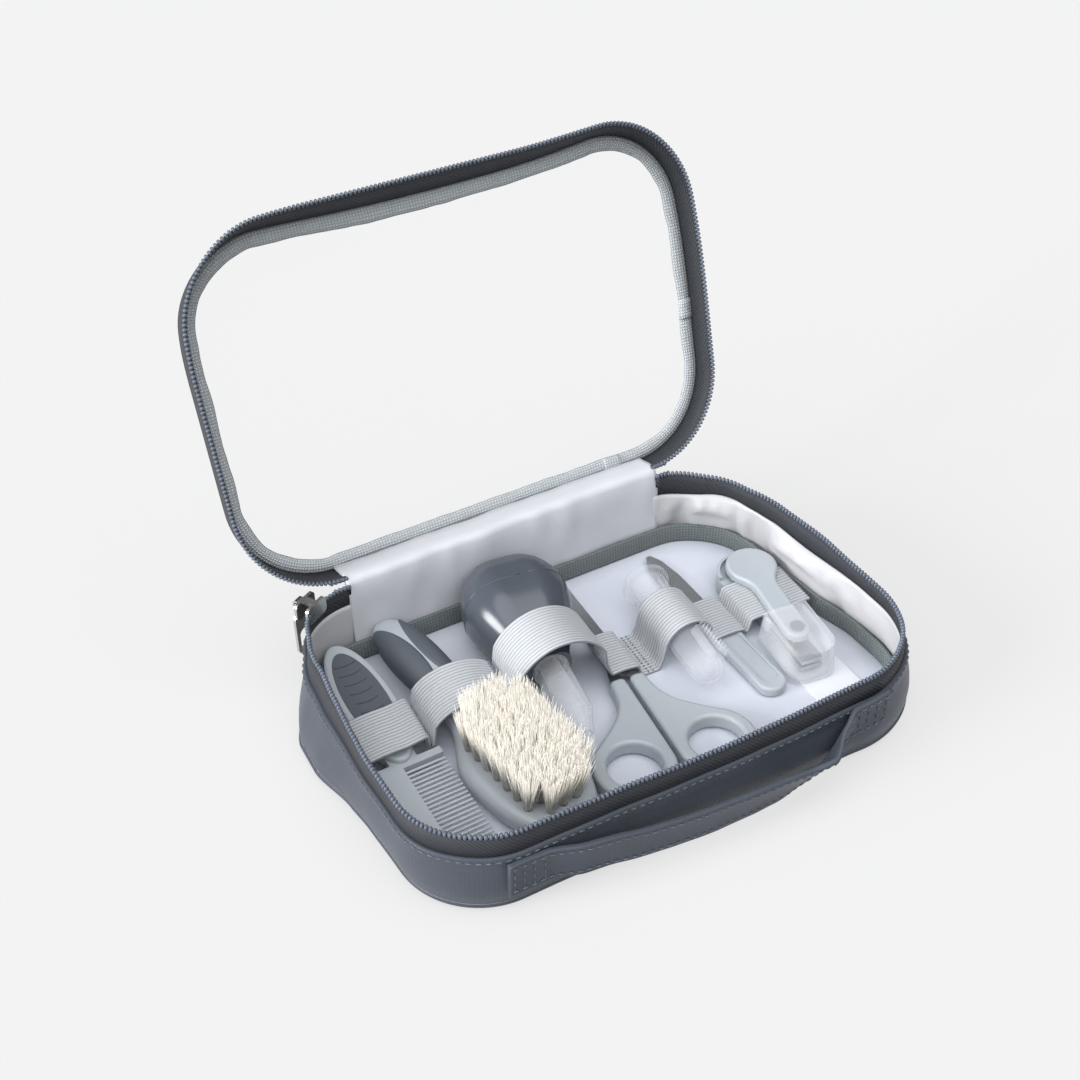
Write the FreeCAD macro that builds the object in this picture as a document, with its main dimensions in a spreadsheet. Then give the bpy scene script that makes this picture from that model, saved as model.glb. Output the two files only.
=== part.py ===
import FreeCAD, Part
import math
import operator
import os
from types import SimpleNamespace

import Sketcher
from FreeCAD import Placement, Rotation, Vector

# A baby grooming kit: a soft zip case with a clear lid, and seven tools side by side on its floor, each
# under its own loop of ribbed elastic: comb, hair brush, nasal aspirator, scissors, finger brush, nail
# file and nail clipper. Lengths are millimetres. The origin is the middle of the case's underside, +X runs
# along the hinge, -Y is the front with the carrying strap, and +Z is up. The lid stands open.

SIZES = {
    # Case walls, floor and zip
    "fabric": 1.2,
    "board": 1.8,
    "bottom_round": 4.0,
    "lining": 0.6,
    "lining_drop": 1.0,
    "binding": 1.6,
    "binding_height": 9.0,
    "rim_corner": 36.0,
    "head_room": 0.7,
    "tape_reach": 9.0,
    "zip_tape": 0.8,
    "teeth_width": 2.6,
    "teeth_height": 2.6,
    "hinge_inset": 35.0,
    "zip_start": 9.0,
    "hinge_lift": 2.4,
    "hinge_roll": 1.7,
    "lid_open_angle": 110.5,
    "lid_wall": 9.0,
    "lid_lift": 1.2,
    "lid_binding_width": 6.0,
    "lid_binding": 1.4,
    "lid_film": 0.4,
    # Clearances
    "nest_gap": 0.15,
    "seat_gap": 0.3,
    "fit_gap": 0.06,
    "overrun": 1.0,
    # Carrying strap on the front wall
    "strap_patch": 16.0,
    "strap_patch_inset": 27.0,
    "strap_bow": 6.5,
    "strap_width": 15.0,
    "strap_thick": 2.2,
    "strap_low": 12.0,
    # Gaps between the tools, from the left wall to the right wall
    "comb_side_gap": 7.0,
    "brush_gap": 1.3,
    "scissors_nest": -0.7,
    "scissors_lean": 6.4,
    "bulb_gap": 3.3,
    "finger_gap": 14.2,
    "file_gap": 3.0,
    "clipper_gap": 7.0,
    "clipper_side_gap": 2.2,
    "end_gap": 2.75,
    # Elastic holding strap
    "elastic": 1.1,
    "elastic_width": 22.0,
    "elastic_fall": 5.2,
    "elastic_gap": 0.4,
    # Blank insert card
    "card_length": 42.0,
    "card_width": 21.0,
    "card": 0.4,
    "card_corner": 1.5,
    "card_shift": 3.5,
    # Comb
    "comb_length": 124.5,
    "comb_spine_side": 12.0,
    "comb_tooth_side": 14.5,
    "comb_spine_width": 10.5,
    "comb_plate": 3.4,
    "comb_blade_length": 63.5,
    "comb_end_block": 3.0,
    "comb_front_round": 9.5,
    "comb_tooth": 1.15,
    "comb_tooth_pitch": 1.9,
    "comb_handle_width": 21.0,
    "comb_handle_length": 62.0,
    "comb_neck_width": 11.0,
    "comb_end_inset": 1.4,
    "comb_bearing_inset": 5.0,
    "comb_handle_thick": 5.6,
    "comb_edge_round": 1.4,
    "comb_grip_border": 2.6,
    "comb_grip_depth": 1.0,
    "comb_grip_proud": 0.35,
    "comb_ridge_length": 9.0,
    "comb_ridge_width": 1.8,
    "comb_ridge_pitch": 4.9,
    # Hair brush
    "brush_length": 124.0,
    "brush_lean": 14.0,
    "brush_overhang": 2.0,
    "brush_head_width": 39.0,
    "brush_head_thick": 9.5,
    "brush_handle_height": 14.5,
    "brush_grip_length": 42.0,
    "brush_grip_width": 13.0,
    "brush_grip_proud": 0.5,
    "brush_grip_tilt": 26.0,
    "tuft_root": 3.2,
    "tuft_tip": 5.0,
    "tuft_length": 21.5,
    "tuft_seat": 3.0,
    "tuft_pitch": 5.6,
    # Nasal aspirator
    "bulb_width": 42.0,
    "bulb_height": 34.0,
    "bulb_length": 56.0,
    "bulb_wall": 1.8,
    "bulb_end_gap": 4.6,
    "bulb_lean": 7.5,
    "bulb_tilt": 3.0,
    "nozzle_plug": 8.0,
    "nozzle_collar": 2.0,
    "nozzle_chamber": 22.0,
    "nozzle_tip": 10.0,
    "nozzle_radius": 6.6,
    "nozzle_mouth": 2.6,
    "nozzle_wall": 1.1,
    # Scissors
    "blade_reach": 46.0,
    "blade_width": 8.0,
    "blade_tip": 2.2,
    "blade_thick": 1.2,
    "blade_gap": 0.1,
    "shank_reach": 13.0,
    "tang": 12.0,
    "ring_reach": 54.5,
    "ring_outer": 15.6,
    "ring_hole": 10.4,
    "ring_parting": 0.9,
    "scissors_handle_thick": 7.0,
    "tang_width": 4.2,
    "tang_wall": 1.1,
    "ring_shoulder_angle": 52.0,
    "scissors_edge_round": 1.7,
    "shoulder_round": 2.2,
    "rivet_radius": 1.9,
    "rivet_head": 3.4,
    "rivet_head_thick": 1.0,
    # Finger brush
    "finger_length": 58.0,
    "finger_radius": 7.8,
    "finger_tip_radius": 6.4,
    "finger_wall": 1.4,
    "finger_flange_radius": 9.8,
    "finger_flange": 2.4,
    "finger_tip_round": 4.2,
    "finger_roll": 38.0,
    "finger_lean": 6.7,
    "pad_length": 16.5,
    "pad_width": 8.6,
    "pad_height": 1.0,
    "pin_radius": 0.55,
    "pin_height": 2.4,
    "pin_pitch": 1.9,
    # Nail file
    "file_length": 91.0,
    "file_blade_width": 9.5,
    "file_blade_thick": 1.0,
    "file_tip_length": 16.0,
    "file_handle_length": 42.0,
    "file_handle_width": 12.0,
    "file_handle_thick": 4.4,
    "file_tang": 14.0,
    "file_edge_round": 1.2,
    "file_panel_border": 2.2,
    "file_panel_depth": 0.6,
    # Nail clipper
    "clipper_lean": 8.0,
    "clipper_reach": 40.0,
    "clipper_disc": 12.3,
    "clipper_neck": 11.0,
    "clipper_neck_end": 10.6,
    "clipper_body_height": 7.2,
    "clipper_body_floor": 2.2,
    "clipper_edge_round": 1.2,
    "clipper_lip": 1.3,
    "clipper_lip_height": 1.9,
    "arm_width": 9.0,
    "arm_thick": 1.0,
    "arm_rise": 2.6,
    "arm_tail": 4.0,
    "jaw_reach": 13.0,
    "jaw_thick": 1.2,
    "jaw_gap": 1.3,
    "post_radius": 1.7,
    "post_head": 2.8,
    "post_head_thick": 1.0,
    "post_foot_height": 1.3,
    "lever_gap": 2.2,
    "lever_disc": 10.5,
    "lever_end": 5.0,
    "lever_thick": 3.2,
    "lever_edge_round": 1.3,
    "lever_turn": 2.5,
    "guard_width": 22.0,
    "guard_top_width": 18.0,
    "guard_front": 18.0,
    "guard_rear": 10.0,
    "guard_height": 15.2,
    "guard_wall": 1.0,
    "guard_corner": 7.5,
    # Zip slider and its pull tab
    "slider_angle": 119.5,
    "slider_length": 11.0,
    "slider_plate": 1.2,
    "slider_depth": 4.2,
    "slider_top": 3.4,
    "slider_gap": 0.5,
    "slider_corner": 2.0,
    "slider_post_length": 3.0,
    "slider_post_height": 1.4,
    "slider_bar_radius": 0.7,
    "slider_bar_reach": 2.0,
    "slider_bar_span": 5.4,
    "tab_length": 25.0,
    "tab_width": 8.0,
    "tab_thick": 1.1,
    "tab_eye": 1.8,
    "tab_hole_length": 9.0,
    "tab_hole_width": 4.6,
}

# Shares of the sizes that they follow: each row is a station along the piece and what it measures there
BRUSH_LOFT_SHARES = (
    # along the length, width of the head, underside and top of the handle's height
    (0.000, 0.10, 0.36, 0.56),
    (0.012, 0.22, 0.24, 0.70),
    (0.060, 0.36, 0.10, 0.88),
    (0.160, 0.45, 0.02, 1.00),
    (0.280, 0.45, 0.00, 0.98),
    (0.380, 0.42, 0.00, 0.86),
    (0.470, 0.46, 0.00, 0.70),
    (0.540, 0.68, 0.00, 0.594),
    (0.610, 0.92, 0.00, 0.594),
    (0.720, 1.00, 0.00, 0.594),
    (0.830, 0.93, 0.00, 0.594),
    (0.920, 0.70, 0.00, 0.594),
    (0.975, 0.40, 0.04, 0.560),
    (1.000, 0.14, 0.14, 0.460),
)
BULB_LOFT_SHARES = (
    # along the length, part of the full width and height
    (0.000, 0.26),
    (0.020, 0.44),
    (0.080, 0.68),
    (0.200, 0.90),
    (0.360, 1.00),
    (0.520, 0.96),
    (0.680, 0.80),
    (0.840, 0.58),
    (0.940, 0.45),
    (1.000, 0.42),
)
BULB_CENTRE_SHARE = 0.40
HEAD_CENTRE_SHARE = 0.72
HEAD_REST_SHARE = 0.93
NECK_SHARE = 0.5
COMB_RIDGE_SHARE = 0.65
PAD_CORNER_SHARE = 0.25
FILE_TIP_SHARES = (0.3333, 0.7)
KEEN_EDGE_SHARE = 0.25
BRISTLE_FIELD_SHARES = (0.80, 0.40)
LOFT_ROUND_SHARE = 0.86
HANDLE_GRIP_SHARE = 0.21
BEND_SHARE = 0.45
STRAP_HOLD_SHARE = 0.44
LOOP_SLACK_SHARE = 0.09
OVAL_SHOULDER_SHARE = 0.78
FLAT_SHOULDER_SHARE = 1.0
ROUND_SHOULDER_SHARE = 0.64
CROWN_RISE_SHARE = 0.06
PLACE_SHARES = {
    "strap": 0.2,
    "scissors": 0.185,
    "finger": 0.123,
    "file": 0.178,
    "clipper": -0.262,
    "card": -0.47,
}


class Size:
    """A length together with the sheet formula that it comes from."""

    def __init__(self, value, formula):
        self.value = value
        self.formula = formula

    def __float__(self):
        return self.value

    def __add__(self, other):
        return combine(self, "+", other)

    def __radd__(self, other):
        return combine(other, "+", self)

    def __sub__(self, other):
        return combine(self, "-", other)

    def __rsub__(self, other):
        return combine(other, "-", self)

    def __mul__(self, other):
        return combine(self, "*", other)

    def __rmul__(self, other):
        return combine(other, "*", self)

    def __truediv__(self, other):
        return combine(self, "/", other)

    def __neg__(self):
        return combine(0, "-", self)


OPERATORS = {"+": operator.add, "-": operator.sub, "*": operator.mul, "/": operator.truediv}


def as_size(item):
    return item if isinstance(item, Size) else Size(float(item), repr(float(item)))


def combine(left, sign, right):
    left = as_size(left)
    right = as_size(right)
    value = OPERATORS[sign](left.value, right.value)
    return Size(value, f"({left.formula} {sign} {right.formula})")


def largest(*items):
    return Size(max(item.value for item in items), "max(" + "; ".join(item.formula for item in items) + ")")


doc = FreeCAD.newDocument("grooming_kit")
sheet = doc.addObject("Spreadsheet::Sheet", "sizes")
for row, (name, value) in enumerate(SIZES.items(), start=1):
    sheet.set(f"A{row}", name)
    sheet.set(f"B{row}", str(value))
    sheet.setAlias(f"B{row}", name)
doc.recompute()
size = SimpleNamespace(**{name: Size(float(sheet.get(name)), f"sizes.{name}") for name in SIZES})
mm = SimpleNamespace(**{name: float(sheet.get(name)) for name in SIZES})

UP = Vector(0, 0, 1)
SIDEWAYS = Vector(1, 0, 0)
ALONG = Vector(0, 1, 0)
SAME_LEVEL = 1e-4


# Sizes of the case, worked out from the row of tools that it holds

floor_top = size.fabric + size.board
seat = floor_top + size.seat_gap
floor_to_zip = size.binding + size.bottom_round - size.fabric + size.fabric / 2
comb_x = size.comb_side_gap + size.comb_spine_side
head_x = comb_x + size.comb_tooth_side + size.brush_gap + size.brush_head_width / 2
left_ring_x = head_x + size.brush_head_width / 2 + size.ring_outer - size.scissors_nest
scissors_x = left_ring_x + size.ring_outer + size.ring_parting + size.scissors_lean
bulb_x = scissors_x - size.bulb_gap - size.bulb_width / 2
finger_x = scissors_x + size.blade_width / 2 + size.finger_gap + size.finger_flange_radius
file_x = finger_x + size.finger_flange_radius + size.file_gap + size.file_handle_width / 2
disc_x = file_x + size.file_handle_width / 2 + size.clipper_gap + size.clipper_disc
floor_length = disc_x + size.clipper_disc + size.clipper_side_gap
scissors_length = size.blade_reach + size.ring_reach + size.ring_outer
floor_width = largest(size.comb_length, size.brush_length, scissors_length) + 2 * size.end_gap
floor_half = floor_length / 2
floor_depth = floor_width / 2
rim_length = floor_length + 2 * floor_to_zip
rim_width = floor_width + 2 * floor_to_zip
brush_top = size.brush_head_thick + size.tuft_length
rim_height = seat + largest(size.bulb_height, brush_top) + size.head_room
wall_height = rim_height - size.tape_reach
hinge_span = rim_length - 2 * size.hinge_inset
hinge_height = rim_height + size.hinge_lift


# Helpers for pieces made in a body of sketches and features

def bind(item, path, value):
    """Ties one property of a document object to the sheet."""
    item.setExpression(path, as_size(value).formula)


def new_body(label):
    body = doc.addObject("PartDesign::Body", label)
    body.Label = label
    return body


def new_sketch(body, role="XY_Plane", lift=None):
    """A sketch on one of the body's own planes, raised by a bound distance."""
    sketch = body.newObject("Sketcher::SketchObject", f"{body.Label}_sketch")
    plane = next(item for item in body.Origin.OriginFeatures if item.Role == role)
    sketch.AttachmentSupport = (plane, [""])
    sketch.MapMode = "FlatFace"
    if lift is not None:
        bind(sketch, "AttachmentOffset.Base.z", lift)
    return sketch


def fix(sketch, kind, *where):
    """Adds a constraint whose last argument is a size, tied to the sheet."""
    value = as_size(where[-1])
    index = sketch.addConstraint(Sketcher.Constraint(kind, *where[:-1], value.value))
    name = f"{kind.lower()}_{index}"
    sketch.renameConstraint(index, name)
    bind(sketch, f"Constraints.{name}", value)


def draw_rounded(sketch, length, width, radius):
    """A rounded rectangle about the sketch's origin."""
    along = float(length) / 2
    across = float(width) / 2
    bend = float(radius)
    corners = ((along, -across), (along, across), (-along, across), (-along, -across))
    first = sketch.GeometryCount
    near_x = along - bend
    near_y = across - bend
    starts = ((-near_x, -across), (along, -near_y), (near_x, across), (-along, near_y))
    ends = ((near_x, -across), (along, near_y), (-near_x, across), (-along, -near_y))
    for start, end in zip(starts, ends):
        sketch.addGeometry(Part.LineSegment(Vector(*start, 0), Vector(*end, 0)), False)
    for turn, (x, y) in enumerate(corners):
        centre = Vector(x - math.copysign(bend, x), y - math.copysign(bend, y), 0)
        angle = (turn - 1) * math.pi / 2
        circle = Part.Circle(centre, UP, bend)
        sketch.addGeometry(Part.ArcOfCircle(circle, angle, angle + math.pi / 2), False)
    sides = [first + index for index in range(4)]
    arcs = [first + 4 + index for index in range(4)]
    for index in range(4):
        sketch.addConstraint(Sketcher.Constraint("Tangent", sides[index], 2, arcs[index], 1))
        sketch.addConstraint(Sketcher.Constraint("Tangent", arcs[index], 2, sides[(index + 1) % 4], 1))
    sketch.addConstraint(Sketcher.Constraint("Horizontal", sides[2]))
    sketch.addConstraint(Sketcher.Constraint("Vertical", sides[3]))
    for index in range(3):
        sketch.addConstraint(Sketcher.Constraint("Equal", arcs[index], arcs[index + 1]))
    sketch.addConstraint(Sketcher.Constraint("Symmetric", sides[0], 1, sides[0], 2, -2))
    sketch.addConstraint(Sketcher.Constraint("Symmetric", sides[1], 1, sides[1], 2, -1))
    fix(sketch, "Radius", arcs[0], radius)
    fix(sketch, "DistanceX", sides[3], 1, sides[1], 1, length)
    fix(sketch, "DistanceY", sides[0], 1, sides[2], 1, width)


def draw_profile(sketch, points):
    """A closed outline of straight lines, each corner tied to its two sizes."""
    first = sketch.GeometryCount
    spots = [Vector(float(x), float(y), 0) for x, y in points]
    count = len(spots)
    for index in range(count):
        sketch.addGeometry(Part.LineSegment(spots[index], spots[(index + 1) % count]), False)
    for index in range(count):
        following = first + (index + 1) % count
        sketch.addConstraint(Sketcher.Constraint("Coincident", first + index, 2, following, 1))
    for index, (x, y) in enumerate(points):
        fix(sketch, "DistanceX", -1, 1, first + index, 1, x)
        fix(sketch, "DistanceY", -1, 1, first + index, 1, y)


def draw_block(sketch, left, right, front, rear):
    draw_profile(sketch, ((left, front), (right, front), (right, rear), (left, rear)))


def draw_oval(sketch, length, width, y=0):
    """An ellipse with its long axis along the sketch's vertical."""
    first = sketch.GeometryCount
    centre = Vector(0, float(y), 0)
    long_end = centre + Vector(0, float(length) / 2, 0)
    short_end = centre + Vector(-float(width) / 2, 0, 0)
    sketch.addGeometry(Part.Ellipse(long_end, short_end, centre), False)
    sketch.exposeInternalGeometry(first)
    sketch.addConstraint(Sketcher.Constraint("Vertical", first + 1))
    sketch.addConstraint(Sketcher.Constraint("PointOnObject", first, 3, -2))
    fix(sketch, "DistanceY", -1, 1, first, 3, y)
    fix(sketch, "Distance", first + 1, length)
    fix(sketch, "Distance", first + 2, width)


def pad(body, sketch, height):
    feature = body.newObject("PartDesign::Pad", f"{body.Label}_pad")
    feature.Profile = sketch
    bind(feature, "Length", height)
    return feature


def pocket_up(body, sketch, height):
    """Cuts from the sketch's plane upwards."""
    before = volume_of(body)
    feature = body.newObject("PartDesign::Pocket", f"{body.Label}_pocket")
    feature.Profile = sketch
    feature.Reversed = True
    bind(feature, "Length", height)
    if not volume_of(body) < before:
        raise RuntimeError(f"{body.Label}: the pocket cuts nothing")
    return feature


def volume_of(body):
    doc.recompute()
    return body.Shape.Volume


def row_of(body, feature, sketch, spacing, count):
    """Repeats a feature along the sketch's vertical axis."""
    pattern = body.newObject("PartDesign::LinearPattern", f"{body.Label}_row")
    pattern.Originals = [feature]
    pattern.Direction = (sketch, ["V_Axis"])
    pattern.Occurrences = count
    bind(pattern, "Length", spacing * (count - 1))
    body.Tip = pattern
    return pattern


def turn_round(body, sketch):
    """Revolves a profile about the sketch's vertical axis."""
    feature = body.newObject("PartDesign::Revolution", f"{body.Label}_turning")
    feature.Profile = sketch
    feature.ReferenceAxis = (sketch, ["V_Axis"])
    return feature


def on_level(height):
    """Picks the edges that lie flat at one height."""
    level = float(height)
    return lambda edge: abs(edge.BoundBox.ZMin - level) + abs(edge.BoundBox.ZMax - level) < SAME_LEVEL


def upright_at(y):
    """Picks the standing edges at one distance along Y."""
    return lambda edge: edge.BoundBox.ZLength > SAME_LEVEL and max(
        abs(edge.BoundBox.YMin - y), abs(edge.BoundBox.YMax - y)) < SAME_LEVEL


def soften(body, feature, radius, wanted):
    """Rounds the edges of a feature that the test picks."""
    doc.recompute()
    names = [f"Edge{index}" for index, edge in enumerate(feature.Shape.Edges, start=1) if wanted(edge)]
    fillet = body.newObject("PartDesign::Fillet", f"{body.Label}_round")
    fillet.Base = (feature, names)
    bind(fillet, "Radius", radius)
    return fillet


def ring_body(label, length, width, radius, band, height):
    """A flat or standing band that follows a rounded rectangle."""
    body = new_body(label)
    sketch = new_sketch(body)
    draw_rounded(sketch, length, width, radius)
    draw_rounded(sketch, length - 2 * band, width - 2 * band, radius - band)
    pad(body, sketch, height)
    return body


def open_rear(body, width, band, gap, height):
    """Takes the hinge's stretch out of a band's rear side."""
    sketch = new_sketch(body)
    rear = width / 2
    draw_block(sketch, -gap / 2, gap / 2, rear - band - size.overrun, rear + size.overrun)
    pocket_up(body, sketch, height)


def plate_body(label, length, width, radius, height):
    body = new_body(label)
    sketch = new_sketch(body)
    draw_rounded(sketch, length, width, radius)
    pad(body, sketch, height)
    return body


def put(item, x=0, y=0, z=0):
    """Ties an unturned piece's place to the sheet."""
    for axis, value in zip("xyz", (x, y, z)):
        if isinstance(value, Size):
            bind(item, f"Placement.Base.{axis}", value)


# Helpers for pieces made straight from outlines and lofts

def feature_of(label, shape, place=Placement()):
    item = doc.addObject("Part::Feature", label)
    item.Label = label
    item.Shape = shape
    item.Placement = place.multiply(item.Placement)
    return item


def line(start, end):
    return Part.LineSegment(start, end).toShape()


def bend_between(start, heading, end, arrival):
    """A smooth curve that leaves and arrives along the given directions."""
    reach = start.distanceToPoint(end) * BEND_SHARE
    curve = Part.BezierCurve()
    curve.setPoles([start, start + heading * reach, end - arrival * reach, end])
    return curve.toShape()


def loop_wire(points):
    return Part.makePolygon([*points, points[0]])


def prism(wire, height):
    return Part.Face(wire).extrude(UP * height)


def rounded_wire(length, width, radius):
    """A rounded rectangle about the origin, from lines and quarter arcs."""
    along = length / 2 - radius
    across = width / 2 - radius
    edges = []
    corners = ((along, -across), (along, across), (-along, across), (-along, -across))
    for turn, (x, y) in enumerate(corners):
        angle = 90 * (turn - 1)
        edges.append(Part.makeCircle(radius, Vector(x, y, 0), UP, angle, angle + 90))
    ends = [(edge.valueAt(edge.FirstParameter), edge.valueAt(edge.LastParameter)) for edge in edges]
    joined = []
    for index, edge in enumerate(edges):
        joined.append(edge)
        joined.append(line(ends[index][1], ends[(index + 1) % len(edges)][0]))
    return Part.Wire(joined)


def across(y, width, low, high, x=0.0):
    """A rounded section that stands across the Y axis."""
    height = high - low
    wire = rounded_wire(width, height, LOFT_ROUND_SHARE * min(width, height) / 2)
    wire.rotate(Vector(), SIDEWAYS, 90)
    wire.translate(Vector(x, y, (low + high) / 2))
    return wire


def loft(wires):
    return Part.makeLoft(wires, True, False)


def rounded(shape, radius, wanted):
    return shape.makeFillet(radius, [edge for edge in shape.Edges if wanted(edge)])


def either(*tests):
    return lambda edge: any(test(edge) for test in tests)


def drill(radius, x, y, low, high):
    return Part.makeCylinder(radius, high - low, Vector(x, y, low))


def world_x(row_x):
    """A place along the row of tools, measured from the middle of the floor."""
    return row_x - floor_half


def tool_place(row_x, y, z, turn=0.0, tilt=0.0, roll=0.0):
    spin = Rotation(UP, turn).multiply(Rotation(SIDEWAYS, tilt)).multiply(Rotation(ALONG, roll))
    return Placement(Vector(float(world_x(row_x)), float(y), float(z)), spin)


# The case

def make_outer_shell():
    """The coated fabric tray: walls and underside in one, with a soft bottom edge."""
    body = plate_body("outer_shell", rim_length + size.fabric, rim_width + size.fabric,
                      size.rim_corner + size.fabric / 2, wall_height)
    inside = new_sketch(body, lift=size.fabric)
    draw_rounded(inside, rim_length - size.fabric, rim_width - size.fabric,
                 size.rim_corner - size.fabric / 2)
    hollow = pocket_up(body, inside, wall_height)
    outer = soften(body, hollow, size.bottom_round, on_level(0))
    soften(body, outer, size.bottom_round - size.fabric, on_level(size.fabric))


def make_floor_board():
    """The stiff lined floor that the tools lie on."""
    inset = 2 * (size.bottom_round - size.fabric + size.fabric / 2)
    board = plate_body("floor_board", rim_length - inset, rim_width - inset,
                       size.rim_corner - inset / 2, size.board)
    put(board, z=size.fabric)


def make_floor_binding():
    """The woven tape that covers the seam round the floor."""
    inset = 2 * (size.bottom_round - size.fabric + size.fabric / 2)
    band = ring_body("floor_binding", rim_length - inset, rim_width - inset,
                     size.rim_corner - inset / 2, size.binding, size.binding_height)
    put(band, z=floor_top)


def make_wall_lining():
    """The satin lining of the walls, from above the bottom bend to just under the zip tape."""
    inset = size.fabric + 2 * size.nest_gap
    band = ring_body("wall_lining", rim_length - inset, rim_width - inset, size.rim_corner - inset / 2,
                     size.lining, wall_height - size.bottom_round - size.lining_drop)
    put(band, z=size.bottom_round)


def make_base_zip():
    """The base's zip tape, which stands on the wall, and its row of teeth."""
    gap = hinge_span + 2 * size.seat_gap
    tape_height = size.tape_reach - size.teeth_height / 2
    tape = ring_body("base_zip_tape", rim_length + size.zip_tape, rim_width + size.zip_tape,
                     size.rim_corner + size.zip_tape / 2, size.zip_tape, tape_height)
    open_rear(tape, rim_width + size.zip_tape, size.zip_tape, gap, tape_height)
    put(tape, z=wall_height)
    teeth = ring_body("base_zip_teeth", rim_length + size.teeth_width, rim_width + size.teeth_width,
                      size.rim_corner + size.teeth_width / 2, size.teeth_width, size.teeth_height)
    open_rear(teeth, rim_width + size.teeth_width, size.teeth_width, gap + 2 * size.zip_start,
              size.teeth_height)
    put(teeth, z=rim_height - size.teeth_height / 2)


def make_hinge_strip():
    """The fabric at the rear that the lid folds on, with its rolled top edge."""
    leaf = doc.addObject("Part::Box", "hinge_leaf")
    bind(leaf, "Length", hinge_span)
    bind(leaf, "Width", size.fabric)
    bind(leaf, "Height", hinge_height - wall_height)
    put(leaf, -hinge_span / 2, rim_width / 2 - size.fabric / 2, wall_height)
    roll = doc.addObject("Part::Cylinder", "hinge_fold")
    roll.Placement = Placement(Vector(), Rotation(ALONG, 90))
    bind(roll, "Radius", size.hinge_roll)
    bind(roll, "Height", hinge_span)
    put(roll, -hinge_span / 2, rim_width / 2, hinge_height)
    strip = doc.addObject("Part::Fuse", "hinge_strip")
    strip.Base = leaf
    strip.Tool = roll
    strip.Label = "hinge_strip"


def make_handle_strap():
    """The carrying strap: flat sewn ends on the front wall and a bowed middle."""
    wall = -float(rim_width) / 2 - mm.fabric / 2
    far = float(rim_length) / 2 - mm.strap_patch_inset
    near = far - mm.strap_patch
    crown = wall - mm.strap_bow

    def side(offset):
        """Four points along one face of the strap, and the edges between them."""
        spots = [Vector(x, wall - offset, 0) for x in (-far, -near, near, far)]
        bow = Part.Arc(spots[1], Vector(0, crown - offset, 0), spots[2])
        return spots, [line(spots[0], spots[1]), bow.toShape(), line(spots[2], spots[3])]

    inner, inner_edges = side(0)
    outer, outer_edges = side(mm.strap_thick)
    caps = [line(inner[3], outer[3]), line(outer[0], inner[0])]
    outline = Part.Wire([*inner_edges, caps[0], *reversed(outer_edges), caps[1]])
    strap = prism(outline, mm.strap_width)
    feature_of("handle_strap", strap, Placement(UP * mm.strap_low, Rotation()))


def make_insert_card():
    """The blank printed card that lies under the clipper."""
    card = plate_body("insert_card", size.card_width, size.card_length, size.card_corner, size.card)
    put(card, disc_x - floor_half - size.card_shift, floor_depth * PLACE_SHARES["card"], floor_top)


# The lid, modelled closed about its hinge line and then swung open

def lid_body(body, height):
    swing = Rotation(SIDEWAYS, -mm.lid_open_angle)
    from_hinge = swing.multVec(Vector(0, -float(rim_width) / 2, float(height)))
    hinge = Vector(0, float(rim_width) / 2, float(hinge_height))
    body.Placement = Placement(hinge + from_hinge, swing)


def make_lid():
    """A shallow tray: the zip tape is its wall, with the clear window on top and a binding in the corner."""
    gap = hinge_span + 2 * size.seat_gap + 2 * size.zip_start
    teeth = ring_body("lid_zip_teeth", rim_length + size.teeth_width, rim_width + size.teeth_width,
                      size.rim_corner + size.teeth_width / 2, size.teeth_width, size.teeth_height)
    open_rear(teeth, rim_width + size.teeth_width, size.teeth_width, gap, size.teeth_height)
    lid_body(teeth, size.lid_lift)

    # The wall stands inside the hinge line, so that it clears the case when the lid lies right back
    inset = size.fabric / 2 + size.seat_gap
    tray_length = rim_length - 2 * inset
    tray_width = rim_width - 2 * inset
    tray_corner = size.rim_corner - inset
    wall_level = size.lid_lift + size.teeth_height
    wall = ring_body("lid_zip_tape", tray_length, tray_width, tray_corner, size.zip_tape, size.lid_wall)
    open_rear(wall, tray_width, size.zip_tape, gap, size.lid_wall)
    lid_body(wall, wall_level)

    film_level = wall_level + size.lid_wall
    film = plate_body("lid_window", tray_length, tray_width, tray_corner, size.lid_film)
    lid_body(film, film_level)

    tape = size.zip_tape + size.nest_gap
    binding = ring_body("lid_binding", tray_length - 2 * tape, tray_width - 2 * tape, tray_corner - tape,
                        size.lid_binding_width, size.lid_binding)
    lid_body(binding, film_level - size.lid_binding)

    flap = doc.addObject("Part::Box", "lid_hinge_flap")
    flap_level = size.hinge_roll + size.seat_gap
    bind(flap, "Length", hinge_span)
    bind(flap, "Width", size.zip_tape)
    bind(flap, "Height", film_level - flap_level)
    swing = Rotation(SIDEWAYS, -mm.lid_open_angle)
    corner = Vector(-float(hinge_span) / 2, -float(inset + size.zip_tape), float(flap_level))
    hinge = Vector(0, float(rim_width) / 2, float(hinge_height))
    flap.Placement = Placement(hinge + swing.multVec(corner), swing)


# Zip slider on the rear left corner, and its pull tab

def slider_place():
    """The frame of the slider: X points out of the case, Y runs along the zip."""
    corner_x = -float(rim_length) / 2 + mm.rim_corner
    corner_y = float(rim_width) / 2 - mm.rim_corner
    swing = Rotation(UP, mm.slider_angle)
    spot = Vector(corner_x, corner_y, float(rim_height)) + swing.multVec(SIDEWAYS * mm.rim_corner)
    return Placement(spot, swing)


def slider_cheek(inner, low, high):
    """One side plate of the slider, with rounded ends."""
    wire = rounded_wire(mm.slider_length, high - low, mm.slider_corner)
    wire.rotate(Vector(), UP, 90)
    wire.rotate(Vector(), ALONG, 90)
    wire.translate(Vector(inner, 0, (low + high) / 2))
    return Part.Face(wire).extrude(SIDEWAYS * mm.slider_plate)


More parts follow.
